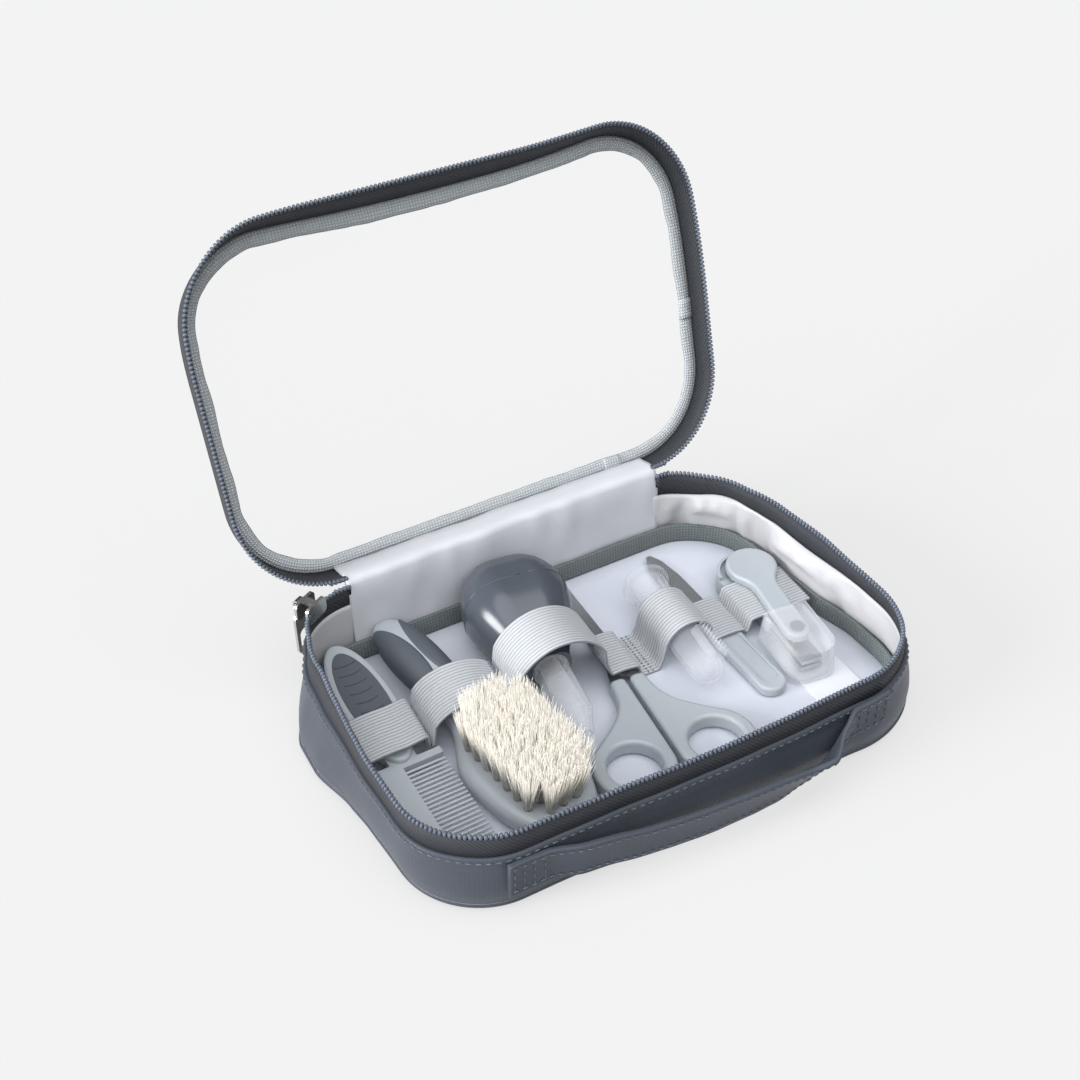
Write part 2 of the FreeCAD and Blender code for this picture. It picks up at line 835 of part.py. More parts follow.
def make_zip_slider():
    """Two cheeks joined by the wedge between the tapes, and the bail that carries the pull tab."""
    sag = mm.rim_corner - math.sqrt(mm.rim_corner ** 2 - (mm.slider_length / 2) ** 2)
    half_gap = mm.teeth_width / 2 + mm.slider_gap
    outer = half_gap
    inner = half_gap + sag
    cheeks = slider_cheek(outer, -mm.slider_depth, mm.slider_top)
    cheeks = cheeks.fuse(slider_cheek(-inner - mm.slider_plate, -mm.slider_depth, mm.slider_top))
    wedge_low = mm.teeth_height / 2 + mm.slider_gap
    wedge = Part.makeBox(outer + inner + mm.slider_plate, mm.slider_post_length, mm.slider_post_height,
                         Vector(-inner - mm.slider_plate / 2, -mm.slider_post_length / 2, wedge_low))
    shape = cheeks.fuse(wedge)
    bar_x = bail_reach()
    radius = mm.slider_bar_radius
    span = mm.slider_bar_span
    for end in (-1, 1):
        leg = Part.makeCylinder(radius, bar_x - outer, Vector(outer, end * span / 2, 0), SIDEWAYS)
        shape = shape.fuse(leg)
        shape = shape.fuse(Part.makeSphere(radius, Vector(bar_x, end * span / 2, 0)))
    shape = shape.fuse(Part.makeCylinder(radius, span, Vector(bar_x, -span / 2, 0), ALONG))
    feature_of("zip_slider", shape.removeSplitter(), slider_place())


def bail_reach():
    return mm.teeth_width / 2 + mm.slider_gap + mm.slider_plate + mm.slider_bar_reach


def make_zip_pull_tab():
    """The tab that hangs from the bail: an eye, a waist and a flat end with a slot."""
    eye_width = mm.slider_bar_span - 2 * mm.slider_bar_radius - 2 * mm.seat_gap
    hole = mm.slider_bar_radius + mm.seat_gap
    waist = 2 * mm.tab_eye
    body_length = mm.tab_length - waist
    low_end = -mm.tab_length
    plate = rounded_wire(mm.tab_width, body_length, mm.tab_width / 2 - mm.fit_gap)
    plate.translate(Vector(0, low_end + body_length / 2, 0))
    flat = prism(plate, mm.tab_thick)
    neck = Part.makeBox(eye_width, waist + mm.tab_width / 2, mm.tab_thick,
                        Vector(-eye_width / 2, -waist - mm.tab_width / 2, 0))
    slot = rounded_wire(mm.tab_hole_width, mm.tab_hole_length, mm.tab_hole_width / 2 - mm.fit_gap)
    slot.translate(Vector(0, low_end + mm.tab_width / 2 + mm.tab_hole_length / 2 - mm.overrun, -mm.overrun))
    shape = flat.fuse(neck).cut(prism(slot, mm.tab_thick + 2 * mm.overrun))
    shape.translate(Vector(0, 0, -mm.tab_thick / 2))
    eye = Part.makeCylinder(mm.tab_eye, eye_width, Vector(-eye_width / 2, 0, 0), SIDEWAYS)
    shape = shape.fuse(eye)
    bore_start = Vector(-eye_width / 2 - mm.overrun, 0, 0)
    bore = Part.makeCylinder(hole, eye_width + 2 * mm.overrun, bore_start, SIDEWAYS)
    shape = shape.cut(bore).removeSplitter()
    shape.rotate(Vector(), SIDEWAYS + ALONG + UP, 120)
    shape.translate(SIDEWAYS * bail_reach())
    feature_of("zip_pull_tab", shape, slider_place())


# Comb

def strap_middle():
    return float(floor_depth) * PLACE_SHARES["strap"]


def comb_place(height=0.0):
    """The comb's frame: its front end is on the floor, and its handle lies on the binding."""
    farthest = float(floor_depth) - mm.comb_end_inset
    nearest = mm.comb_length - farthest
    past_strap = strap_middle() - mm.elastic_width / 2 + mm.comb_length - mm.comb_blade_length
    rear = max(nearest, min(farthest, past_strap))
    bearing = float(floor_depth) - mm.comb_bearing_inset
    rise = mm.binding_height - mm.seat_gap + mm.nest_gap if rear > bearing else 0
    tilt = math.atan2(rise, mm.comb_length + bearing - rear)
    place = tool_place(comb_x, rear - mm.comb_length * math.cos(tilt), seat, tilt=math.degrees(tilt))
    return place.multiply(Placement(Vector(0, mm.comb_length / 2, float(height)), Rotation()))


def make_comb():
    """A flat comb: oval handle, tapering spine, end blocks and a row of round teeth."""
    body = new_body("comb_body")
    rear = -size.comb_length / 2 + size.comb_blade_length
    front = -size.comb_length / 2
    root = size.comb_spine_width - size.comb_spine_side
    spine = new_sketch(body)
    draw_profile(spine, (
        (-size.comb_spine_side + size.comb_front_round, front), (root, front), (root, rear),
        (-size.comb_spine_side, rear), (-size.comb_spine_side, front + size.comb_front_round)))
    pad(body, spine, size.comb_plate)
    blocks = new_sketch(body)
    draw_block(blocks, root - size.overrun, size.comb_tooth_side, rear - size.comb_end_block, rear)
    draw_block(blocks, root - size.overrun, size.comb_tooth_side, front, front + size.comb_end_block)
    pad(body, blocks, size.comb_plate)

    tooth_sketch = new_sketch(body, "YZ_Plane", lift=root - size.overrun)
    first = front + size.comb_end_block + size.comb_tooth_pitch / 2
    circle = Part.Circle(Vector(float(first), float(size.comb_plate) / 2, 0), UP, mm.comb_tooth / 2)
    tooth_sketch.addGeometry(circle, False)
    fix(tooth_sketch, "DistanceX", -1, 1, 0, 3, first)
    fix(tooth_sketch, "DistanceY", -1, 1, 0, 3, size.comb_plate / 2)
    fix(tooth_sketch, "Radius", 0, size.comb_tooth / 2)
    tooth = pad(body, tooth_sketch, size.comb_tooth_side - root + size.overrun)
    room = mm.comb_blade_length - 2 * mm.comb_end_block
    teeth = body.newObject("PartDesign::LinearPattern", "comb_teeth")
    teeth.Originals = [tooth]
    teeth.Direction = (tooth_sketch, ["H_Axis"])
    teeth.Occurrences = int(room / mm.comb_tooth_pitch)
    bind(teeth, "Length", size.comb_tooth_pitch * (teeth.Occurrences - 1))
    body.Tip = teeth

    handle_y = size.comb_length / 2 - size.comb_handle_length / 2
    handle_sketch = new_sketch(body)
    draw_oval(handle_sketch, size.comb_handle_length, size.comb_handle_width, handle_y)
    neck = new_sketch(body)
    neck_side = size.comb_neck_width / 2
    draw_block(neck, -neck_side, neck_side, rear - size.comb_end_block, handle_y)
    pad(body, neck, size.comb_plate)
    handle = pad(body, handle_sketch, size.comb_handle_thick)
    handle = soften(body, handle, size.comb_edge_round, on_level(size.comb_handle_thick))
    recess = new_sketch(body, lift=size.comb_handle_thick - size.comb_grip_depth)
    border = 2 * size.comb_grip_border
    draw_oval(recess, size.comb_handle_length - 2 * border, size.comb_handle_width - border, handle_y)
    pocket_up(body, recess, size.comb_grip_depth + size.overrun)
    body.Placement = comb_place()

    grip = new_body("comb_grip")
    outline = new_sketch(grip)
    slack = 2 * size.fit_gap
    draw_oval(outline, size.comb_handle_length - 2 * border - slack,
              size.comb_handle_width - border - slack, handle_y)
    pad(grip, outline, size.comb_grip_depth)
    ridge_count = 1 + 2 * int(COMB_RIDGE_SHARE * mm.comb_handle_length / mm.comb_ridge_pitch / 2)
    ridge_sketch = new_sketch(grip, lift=size.comb_grip_depth)
    start = handle_y - size.comb_ridge_pitch * (ridge_count - 1) / 2
    draw_lens(ridge_sketch, size.comb_ridge_length, size.comb_ridge_width, start)
    ridge = pad(grip, ridge_sketch, size.comb_grip_proud)
    row_of(grip, ridge, ridge_sketch, size.comb_ridge_pitch, ridge_count)
    grip.Placement = comb_place(size.comb_handle_thick - size.comb_grip_depth)


def draw_lens(sketch, length, width, y):
    """A lens between two arcs, lying across the sketch's vertical at height y."""
    half = float(length) / 2
    rise = float(width) / 2
    left = Vector(-half, float(y), 0)
    right = Vector(half, float(y), 0)
    for side in (1, -1):
        arc = Part.Arc(left, Vector(0, float(y) + side * rise, 0), right)
        sketch.addGeometry(arc, False)
    upper, lower = 0, 1
    starts = [sketch.getPoint(index, 1) for index in (upper, lower)]
    ends = [sketch.getPoint(index, 2) for index in (upper, lower)]
    same = starts[0].distanceToPoint(starts[1]) < ends[0].distanceToPoint(starts[1])
    first, second = (1, 2) if same else (2, 1)
    sketch.addConstraint(Sketcher.Constraint("Coincident", upper, 1, lower, first))
    sketch.addConstraint(Sketcher.Constraint("Coincident", upper, 2, lower, second))
    sketch.addConstraint(Sketcher.Constraint("Equal", upper, lower))
    sketch.addConstraint(Sketcher.Constraint("Symmetric", upper, 1, upper, 2, -2))
    radius = (length * length + width * width) / (4 * width)
    fix(sketch, "Radius", upper, radius)
    on_left = sketch.getPoint(upper, 1).x < 0
    first, second = (1, 2) if on_left else (2, 1)
    fix(sketch, "DistanceX", upper, first, upper, second, length)
    fix(sketch, "DistanceY", -1, 1, upper, 1, y)


# Hair brush

def brush_station(share):
    return mm.brush_length / 2 - share * mm.brush_length


def brush_solid(proud=0.0):
    """The brush from handle end to head, as one loft, grown outwards by a skin."""
    wires = []
    widest = max(BRUSH_LOFT_SHARES, key=lambda section: section[1])
    head_height = mm.brush_head_thick / widest[3]
    for station, width, low, high in BRUSH_LOFT_SHARES:
        top = high * (mm.brush_handle_height if station < NECK_SHARE else head_height)
        wires.append(across(brush_station(station), width * mm.brush_head_width + 2 * proud,
                            low * mm.brush_handle_height - proud, top + proud))
    return loft(wires)


def tuft_spots():
    """Rows of tufts inside the oval field in the middle of the head."""
    wide_share, long_share = BRISTLE_FIELD_SHARES
    wide = wide_share * mm.brush_head_width / 2
    deep = long_share * mm.brush_length / 2
    columns = int(wide / mm.tuft_pitch)
    rows = int(deep / mm.tuft_pitch)
    middle = brush_station(HEAD_CENTRE_SHARE)
    for row in range(-rows, rows + 1):
        for column in range(-columns, columns + 1):
            x = column * mm.tuft_pitch
            y = row * mm.tuft_pitch
            if (x / wide) ** 2 + (y / deep) ** 2 <= 1:
                yield x, middle + y


def brush_place():
    """The brush's frame: its head on the floor, its handle on the binding, leaning across the row."""
    turn = math.degrees(math.atan2(mm.brush_lean, mm.brush_length * HEAD_CENTRE_SHARE))
    shift = Rotation(UP, turn).multVec(ALONG * brush_station(HEAD_CENTRE_SHARE))
    rear = min(float(floor_depth) + mm.brush_overhang, strap_middle() + STRAP_HOLD_SHARE * mm.brush_length)
    arch = BRUSH_LOFT_SHARES[1][2] * mm.brush_handle_height
    rise = mm.binding_height - arch if rear > float(floor_depth) - mm.brush_overhang else 0
    tilt = math.atan2(rise, mm.brush_length)
    lift = -math.tan(tilt) * brush_station(HEAD_REST_SHARE)
    place = tool_place(head_x, rear - mm.brush_length / 2, float(seat) + lift, turn, math.degrees(tilt))
    place.Base.x -= shift.x
    return place


def make_brush():
    """The moulded body, its two soft side grips, and the tufts in their holes."""
    solid = brush_solid()
    seat_level = mm.brush_head_thick - mm.tuft_seat
    holes = [drill(mm.tuft_root / 2 + mm.fit_gap, x, y, seat_level, mm.brush_head_thick + mm.overrun)
             for x, y in tuft_spots()]
    feature_of("brush_body", solid.cut(Part.makeCompound(holes)), brush_place())

    skin = brush_solid(mm.brush_grip_proud)
    grips = []
    for side in (-1, 1):
        oval = Part.Ellipse(ALONG * mm.brush_grip_length / 2, -SIDEWAYS * mm.brush_grip_width / 2, Vector())
        core = prism(Part.Wire(oval.toShape()), mm.brush_handle_height)
        core.rotate(Vector(), ALONG, side * (90 - mm.brush_grip_tilt))
        core.translate(Vector(0, brush_station(HANDLE_GRIP_SHARE), mm.brush_handle_height / 2))
        grips.append(skin.common(core).cut(solid))
    feature_of("brush_grips", Part.makeCompound([grip.Solids[0] for grip in grips]), brush_place())

    tufts = []
    for x, y in tuft_spots():
        root = drill(mm.tuft_root / 2, x, y, seat_level + mm.fit_gap, mm.brush_head_thick)
        top = Vector(x, y, mm.brush_head_thick)
        spread = Part.makeCone(mm.tuft_root / 2, mm.tuft_tip / 2, mm.tuft_length, top)
        tufts.append(root.fuse(spread))
    feature_of("brush_tufts", Part.makeCompound(tufts), brush_place())


# Nasal aspirator

def bulb_station(share):
    return (BULB_CENTRE_SHARE - share) * mm.bulb_length


def bulb_wires(skin):
    wires = []
    for station, part in BULB_LOFT_SHARES:
        wide = part * mm.bulb_width - 2 * skin
        tall = part * mm.bulb_height - 2 * skin
        wires.append(across(bulb_station(station), wide, -tall / 2, tall / 2))
    return wires


def aspirator_place():
    rear = float(rim_width) / 2 - mm.bulb_end_gap - BULB_CENTRE_SHARE * mm.bulb_length
    return tool_place(bulb_x, rear, float(seat) + mm.bulb_height / 2, -mm.bulb_lean, mm.bulb_tilt)


def neck_bore():
    """The bulb's neck opening, which the nozzle plugs into."""
    share = BULB_LOFT_SHARES[-1][1]
    return share * mm.bulb_height / 2 - mm.bulb_wall


def make_aspirator():
    """The squeeze bulb, soft square in section, and the clear nozzle pushed into its neck."""
    outside = loft(bulb_wires(0))
    inside = loft(bulb_wires(mm.bulb_wall)[1:-2])
    mouth = bulb_station(1)
    bore_start = bulb_station(BULB_LOFT_SHARES[-4][0])
    bore = Part.makeCylinder(neck_bore(), bore_start - mouth + mm.overrun,
                             Vector(0, mouth - mm.overrun, 0), ALONG)
    feature_of("aspirator_bulb", outside.cut(inside).cut(bore), aspirator_place())

    body = new_body("aspirator_nozzle")
    sketch = new_sketch(body)
    plug = neck_bore() - mm.fit_gap
    wall = mm.nozzle_wall
    collar_front = mouth - mm.seat_gap - mm.nozzle_collar
    chamber_front = collar_front - mm.nozzle_chamber
    tip = chamber_front - mm.nozzle_tip
    mouth_radius = mm.nozzle_mouth
    collar = BULB_LOFT_SHARES[-1][1] * mm.bulb_height / 2
    draw_profile(sketch, (
        (plug - wall, mouth + mm.nozzle_plug), (plug, mouth + mm.nozzle_plug), (plug, mouth - mm.seat_gap),
        (collar, mouth - mm.seat_gap), (collar, collar_front), (mm.nozzle_radius, collar_front),
        (mm.nozzle_radius, chamber_front), (mouth_radius, tip), (mouth_radius - wall, tip),
        (mm.nozzle_radius - wall, chamber_front), (plug - wall, collar_front)))
    turning = turn_round(body, sketch)
    doc.recompute()
    body.Tip = turning
    body.Placement = aspirator_place()


# Scissors

def scissors_place():
    turn = math.degrees(math.atan2(mm.scissors_lean, mm.ring_reach))
    return tool_place(scissors_x, float(floor_depth) * PLACE_SHARES["scissors"], seat, -turn)


def blade_level(upper):
    first = (mm.scissors_handle_thick - 2 * mm.blade_thick - mm.blade_gap) / 2
    return first + (mm.blade_thick + mm.blade_gap if upper else 0)


def blade_outline(side):
    """A tapering blade, the pivot boss and the shank that runs into its own handle."""
    half = mm.blade_width / 2
    tip = mm.blade_tip / 2
    reach = mm.blade_reach
    end = -mm.shank_reach - mm.tang
    near = side * (mm.ring_parting + mm.tang_wall)
    far = side * (mm.ring_parting + mm.tang_wall + mm.tang_width)
    left = min(near, far)
    right = max(near, far)
    corners = ((tip, reach - tip), (half, half), (half, -half), (right, -mm.shank_reach), (right, end),
               (left, end), (left, -mm.shank_reach), (-half, -half), (-half, half), (-tip, reach - tip))
    points = [Vector(x, y, 0) for x, y in corners]
    edges = [line(points[index], points[index + 1]) for index in range(len(points) - 1)]
    edges.append(Part.Arc(points[-1], Vector(0, reach, 0), points[0]).toShape())
    return Part.Wire(edges)


def handle_outline(side):
    """One handle: a straight parting side, the finger ring and a flaring shoulder up to the shank."""
    parting = side * mm.ring_parting
    ring = Vector(side * (mm.ring_outer + mm.ring_parting), -mm.ring_reach, 0)
    angle = math.radians(mm.ring_shoulder_angle)
    touch = ring + Vector(side * math.cos(angle), math.sin(angle), 0) * mm.ring_outer
    arrival = Vector(side * math.sin(angle), -math.cos(angle), 0)
    inner_low = Vector(parting, -mm.ring_reach, 0)
    inner_high = Vector(parting, -mm.shank_reach, 0)
    shoulder = inner_high + SIDEWAYS * side * (mm.tang_width + 2 * mm.tang_wall)
    arc = Part.Arc(touch, ring - ALONG * mm.ring_outer, inner_low)
    return Part.Wire([line(inner_low, inner_high), line(inner_high, shoulder),
                      bend_between(shoulder, -ALONG, touch, arrival), arc.toShape()])


def tang_slot(side, level):
    """The pocket in a handle that takes the blade's tang."""
    near = side * (mm.ring_parting + mm.tang_wall)
    far = near + side * mm.tang_width
    slack = mm.fit_gap
    corner = Vector(min(near, far) - slack, -mm.shank_reach - mm.tang - slack, level - slack)
    return Part.makeBox(mm.tang_width + 2 * slack, mm.tang + mm.overrun, mm.blade_thick + 2 * slack, corner)


def make_scissors():
    """Two blades on one rivet, each with a moulded finger handle."""
    bore = mm.rivet_radius + mm.fit_gap
    thick = mm.scissors_handle_thick
    for name, side, upper in (("lower", -1, False), ("upper", 1, True)):
        level = blade_level(upper)
        blade = prism(blade_outline(side), mm.blade_thick)
        blade = blade.cut(drill(bore, 0, 0, -mm.overrun, mm.blade_thick + mm.overrun))
        blade.translate(UP * level)
        feature_of(f"scissors_{name}_blade", blade, scissors_place())

        handle = rounded(prism(handle_outline(side), thick), mm.shoulder_round, upright_at(-mm.shank_reach))
        ring_x = side * (mm.ring_outer + mm.ring_parting)
        handle = handle.cut(drill(mm.ring_hole, ring_x, -mm.ring_reach, -mm.overrun, thick + mm.overrun))
        handle = rounded(handle, mm.scissors_edge_round, either(on_level(0), on_level(thick)))
        feature_of(f"scissors_{name}_handle", handle.cut(tang_slot(side, level)), scissors_place())

    foot_top = blade_level(False) - mm.fit_gap
    cap_low = blade_level(True) + mm.blade_thick + mm.fit_gap
    cap_high = cap_low + mm.rivet_head_thick
    shank = drill(mm.rivet_radius, 0, 0, foot_top, cap_low)
    foot = drill(mm.rivet_head, 0, 0, foot_top - mm.rivet_head_thick, foot_top)
    cap = rounded(drill(mm.rivet_head, 0, 0, cap_low, cap_high), mm.rivet_head_thick / 2, on_level(cap_high))
    feature_of("scissors_rivet", foot.fuse([shank, cap]).removeSplitter(), scissors_place())


# Finger brush

def finger_place():
    height = seat + size.finger_flange_radius
    y = float(floor_depth) * PLACE_SHARES["finger"]
    return tool_place(finger_x, y, height, -mm.finger_lean, 0.0, mm.finger_roll)


def finger_skin(proud):
    """The outside of the sleeve without its flange, grown by a layer."""
    run = mm.finger_length - mm.finger_flange
    return Part.makeCone(mm.finger_tip_radius + proud, mm.finger_radius + proud, run,
                         Vector(0, -mm.finger_length / 2, 0), ALONG)


def make_finger_brush():
    """A thimble that slips over a finger, and the patch of soft pins on its side."""
    body = new_body("finger_brush_sleeve")
    sketch = new_sketch(body)
    rear = size.finger_length / 2
    shoulder = rear - size.finger_flange
    inner_tip = size.finger_tip_radius - size.finger_wall
    inner_end = size.finger_wall - rear
    bevel = size.finger_tip_round / 2
    draw_profile(sketch, (
        (size.finger_radius - size.finger_wall, rear), (size.finger_flange_radius, rear),
        (size.finger_flange_radius, shoulder), (size.finger_radius, shoulder),
        (size.finger_tip_radius, -rear), (0, -rear), (0, inner_end), (inner_tip - bevel, inner_end),
        (inner_tip, inner_end + bevel)))
    turning = turn_round(body, sketch)
    tip = -float(rear)

    def at_tip(edge):
        return abs(edge.BoundBox.YMin - tip) + abs(edge.BoundBox.YMax - tip) < SAME_LEVEL

    soften(body, turning, size.finger_tip_round, at_tip)
    body.Placement = finger_place()

    front = -mm.finger_length / 2 + mm.finger_tip_round
    top = mm.finger_radius + mm.pad_height
    block = rounded_wire(mm.pad_width, mm.pad_length, PAD_CORNER_SHARE * mm.pad_width)
    block.translate(Vector(0, front + mm.pad_length / 2, 0))
    patch = prism(block, top).cut(finger_skin(0))
    columns = int((mm.pad_width / 2 - mm.pin_radius) / mm.pin_pitch)
    rows = int((mm.pad_length - 2 * mm.pin_radius) / mm.pin_pitch)
    pins = []
    for row in range(rows + 1):
        y = front + mm.pad_length / 2 + (row - rows / 2) * mm.pin_pitch
        for column in range(-columns, columns + 1):
            foot = Vector(column * mm.pin_pitch, y, top - mm.pad_height / 2)
            tall = mm.pin_height + mm.pad_height / 2
            pins.append(Part.makeCone(mm.pin_radius, mm.pin_radius / 2, tall, foot))
    feature_of("finger_brush_bristles", patch.Solids[0].fuse(pins), finger_place())


# Nail file

def make_file():
    """A steel file in a moulded handle with a sunk thumb panel."""
    y = floor_depth * PLACE_SHARES["file"]
    tip = size.file_length / 2
    handle_y = size.file_handle_length / 2 - tip
    handle = plate_body("file_handle", size.file_handle_width, size.file_handle_length,
                        size.file_handle_width / 2 - size.fit_gap, size.file_handle_thick)
    block = handle.Tip
    block = soften(handle, block, size.file_edge_round, either(on_level(0), on_level(mm.file_handle_thick)))
    blade_low = size.file_handle_thick / 2 - size.file_blade_thick / 2
    slack = size.fit_gap
    slot = new_sketch(handle, lift=blade_low - slack)
    half = size.file_blade_width / 2 + slack
    draw_block(slot, -half, half, size.file_handle_length / 2 - size.file_tang - slack,
               size.file_handle_length / 2 + size.overrun)
    pocket_up(handle, slot, size.file_blade_thick + 2 * slack)
    panel = new_sketch(handle, lift=size.file_handle_thick - size.file_panel_depth)
    border = 2 * size.file_panel_border
    draw_rounded(panel, size.file_handle_width - border, size.file_handle_length - 2 * border,
                 size.file_handle_width / 2 - size.file_panel_border - size.fit_gap)
    pocket_up(handle, panel, size.file_panel_depth + size.overrun)
    put(handle, world_x(file_x), y + handle_y, seat)

    blade = new_body("file_blade")
    outline = new_sketch(blade)
    half = size.file_blade_width / 2
    root = handle_y + size.file_handle_length / 2 - size.file_tang
    point = size.file_blade_thick
    bend = tip - size.file_tip_length
    near = tip - size.file_tip_length * FILE_TIP_SHARES[0]
    slim = half * FILE_TIP_SHARES[1]
    draw_profile(outline, ((half, root), (half, bend), (slim, near), (point, tip),
                           (-point, tip), (-slim, near), (-half, bend), (-half, root)))
    pad(blade, outline, size.file_blade_thick)
    put(blade, world_x(file_x), y, seat + blade_low)


# Nail clipper, about its post: +Y towards the round end, the jaws at the front

def clipper_place(turn=0.0):
    lean = math.radians(mm.clipper_lean)
    place = tool_place(disc_x, float(floor_depth) * PLACE_SHARES["clipper"], seat + size.card,
                       -mm.clipper_lean - turn)
    place.Base.x -= mm.clipper_reach * math.sin(lean)
    return place


def paddle(disc, reach, neck, end, round_end):
    """A disc whose outline sweeps in to a neck with a square or a round end."""
    angle = math.radians(mm.ring_shoulder_angle)
    centre = ALONG * reach
    neck_top = reach - disc - neck / 2
    touch = [centre + Vector(side * math.sin(angle), -math.cos(angle), 0) * disc for side in (1, -1)]
    waist = [Vector(side * neck / 2, neck_top, 0) for side in (1, -1)]
    foot = [Vector(side * neck / 2, end, 0) for side in (1, -1)]
    heading = Vector(-math.cos(angle), -math.sin(angle), 0)
    rising = Vector(-math.cos(angle), math.sin(angle), 0)
    if round_end:
        close = Part.Arc(foot[0], Vector(0, end - neck / 2, 0), foot[1]).toShape()
    else:
        close = line(foot[0], foot[1])
    return Part.Wire([
        Part.Arc(touch[1], centre + ALONG * disc, touch[0]).toShape(),
        bend_between(touch[0], heading, waist[0], -ALONG), line(waist[0], foot[0]), close,
        line(foot[1], waist[1]), bend_between(waist[1], ALONG, touch[1], rising)])


def side_profile(points, width):
    """A strip of steel from its outline seen from the side."""
    face = Part.Face(loop_wire([Vector(-width / 2, y, z) for y, z in points]))
    return face.extrude(SIDEWAYS * width)


def guard_wire(width, front, rear, corner, z):
    """A plan outline with a square rear and a rounded front."""
    half = width / 2
    turn = corner * (1 - math.sqrt(0.5))
    left_start = Vector(-half, front + corner, z)
    left_end = Vector(corner - half, front, z)
    right_start = Vector(half - corner, front, z)
    right_end = Vector(half, front + corner, z)
    rear_left = Vector(-half, rear, z)
    rear_right = Vector(half, rear, z)
    return Part.Wire([
        Part.Arc(left_start, Vector(turn - half, front + turn, z), left_end).toShape(),
        line(left_end, right_start),
        Part.Arc(right_start, Vector(half - turn, front + turn, z), right_end).toShape(),
        line(right_end, rear_right), line(rear_right, rear_left), line(rear_left, left_start)])


def arm_levels():
    """Heights of the lower arm, of the upper arm at the rear, and of the two cutting edges."""
    lower = mm.clipper_body_floor + 2 * mm.fit_gap
    upper = lower + mm.arm_thick + mm.fit_gap
    lower_edge = lower + mm.arm_thick + (mm.arm_rise - mm.jaw_gap) / 2
    return lower, upper, lower_edge, lower_edge + mm.jaw_gap


def make_clipper():
    """Two sprung steel arms in a plastic body, a post, a swivelling lever and a clear guard."""
    top = mm.clipper_body_height
    reach = mm.clipper_reach
    body = prism(paddle(mm.clipper_disc, reach, mm.clipper_neck, mm.clipper_neck_end, False), top)
    body = rounded(body, mm.clipper_edge_round, on_level(0))
    lip = Part.makeCylinder(mm.clipper_disc, mm.clipper_lip_height, Vector(), UP, 86)
    lip_top = mm.clipper_lip_height + mm.overrun
    lip = lip.cut(drill(mm.clipper_disc - mm.clipper_lip, 0, 0, -mm.overrun, lip_top))
    lip.rotate(Vector(), UP, 92)
    lip.translate(Vector(0, reach, top))
    tail = reach + mm.arm_tail
    slack = mm.fit_gap
    slot = Part.makeBox(mm.arm_width + 2 * slack, tail + slack - mm.clipper_neck_end + mm.overrun, top,
                        Vector(-mm.arm_width / 2 - slack, mm.clipper_neck_end - mm.overrun,
                               mm.clipper_body_floor))
    feature_of("clipper_body", body.fuse(lip).cut(slot).removeSplitter(), clipper_place())

    lower, upper, lower_edge, upper_edge = arm_levels()
    jaw = -mm.jaw_reach
    thick = mm.arm_thick
    keen = KEEN_EDGE_SHARE * mm.jaw_thick
    raised = upper + mm.arm_rise
    bend = reach - mm.clipper_disc / 2
    hole = drill(mm.post_radius + mm.fit_gap, 0, 0, 0, mm.guard_height)
    strip = side_profile(((tail, lower), (tail, lower + thick), (jaw + mm.jaw_thick, lower + thick),
                          (jaw + keen, lower_edge), (jaw, lower_edge), (jaw, lower)), mm.arm_width)
    feature_of("clipper_lower_arm", strip.cut(hole), clipper_place())
    loose = drill(mm.post_radius + mm.seat_gap, 0, 0, 0, mm.guard_height)
    strip = side_profile(((tail, upper), (tail, upper + thick), (bend, upper + thick),
                          (jaw + mm.jaw_thick, raised + thick), (jaw, raised + thick), (jaw, upper_edge),
                          (jaw + keen, upper_edge), (jaw + mm.jaw_thick, raised), (bend, upper)),
                         mm.arm_width)
    feature_of("clipper_upper_arm", strip.cut(loose), clipper_place())

    lever_low = size.clipper_body_height + size.lever_gap
    lever_top = lever_low + size.lever_thick
    post = new_body("clipper_post")
    sketch = new_sketch(post, "XZ_Plane")
    foot = size.post_foot_height
    foot_top = foot + size.post_head_thick
    cap = lever_top + size.fit_gap
    draw_profile(sketch, (
        (0, foot), (size.post_head, foot), (size.post_head, foot_top), (size.post_radius, foot_top),
        (size.post_radius, cap), (size.post_head, cap), (size.post_head, cap + size.post_head_thick),
        (0, cap + size.post_head_thick)))
    turn_round(post, sketch)
    post.Placement = clipper_place()

    lever = prism(paddle(mm.lever_disc, reach, 2 * mm.lever_end, 0, True), mm.lever_thick)
    lever = rounded(lever, mm.lever_edge_round, on_level(mm.lever_thick))
    lever = lever.cut(drill(mm.post_radius + mm.fit_gap, 0, 0, -mm.overrun, mm.lever_thick + mm.overrun))
    lever.translate(UP * float(lever_low))
    feature_of("clipper_lever", lever, clipper_place(mm.lever_turn))

    outside = Part.makeLoft([
        guard_wire(mm.guard_width, -mm.guard_front, mm.guard_rear, mm.guard_corner, 0),
        guard_wire(mm.guard_top_width, -mm.guard_front, mm.guard_rear, mm.guard_corner, mm.guard_height)],
        True, True)
    wall = mm.guard_wall
    inside = Part.makeLoft([
        guard_wire(mm.guard_width - 2 * wall, wall - mm.guard_front, mm.guard_rear + mm.overrun,
                   mm.guard_corner - wall, wall),
        guard_wire(mm.guard_top_width - 2 * wall, wall - mm.guard_front, mm.guard_rear + mm.overrun,
                   mm.guard_corner - wall, mm.guard_height - wall)], True, True)
    feature_of("clipper_guard", outside.cut(inside), clipper_place())


# Elastic loops

def strap_place():
    """The strap's frame: it crosses the tools at their necks, and falls towards the front on the right."""
    slant = -math.atan2(mm.elastic_fall, float(floor_half))
    return Placement(ALONG * strap_middle(), Rotation(UP, math.degrees(slant)))


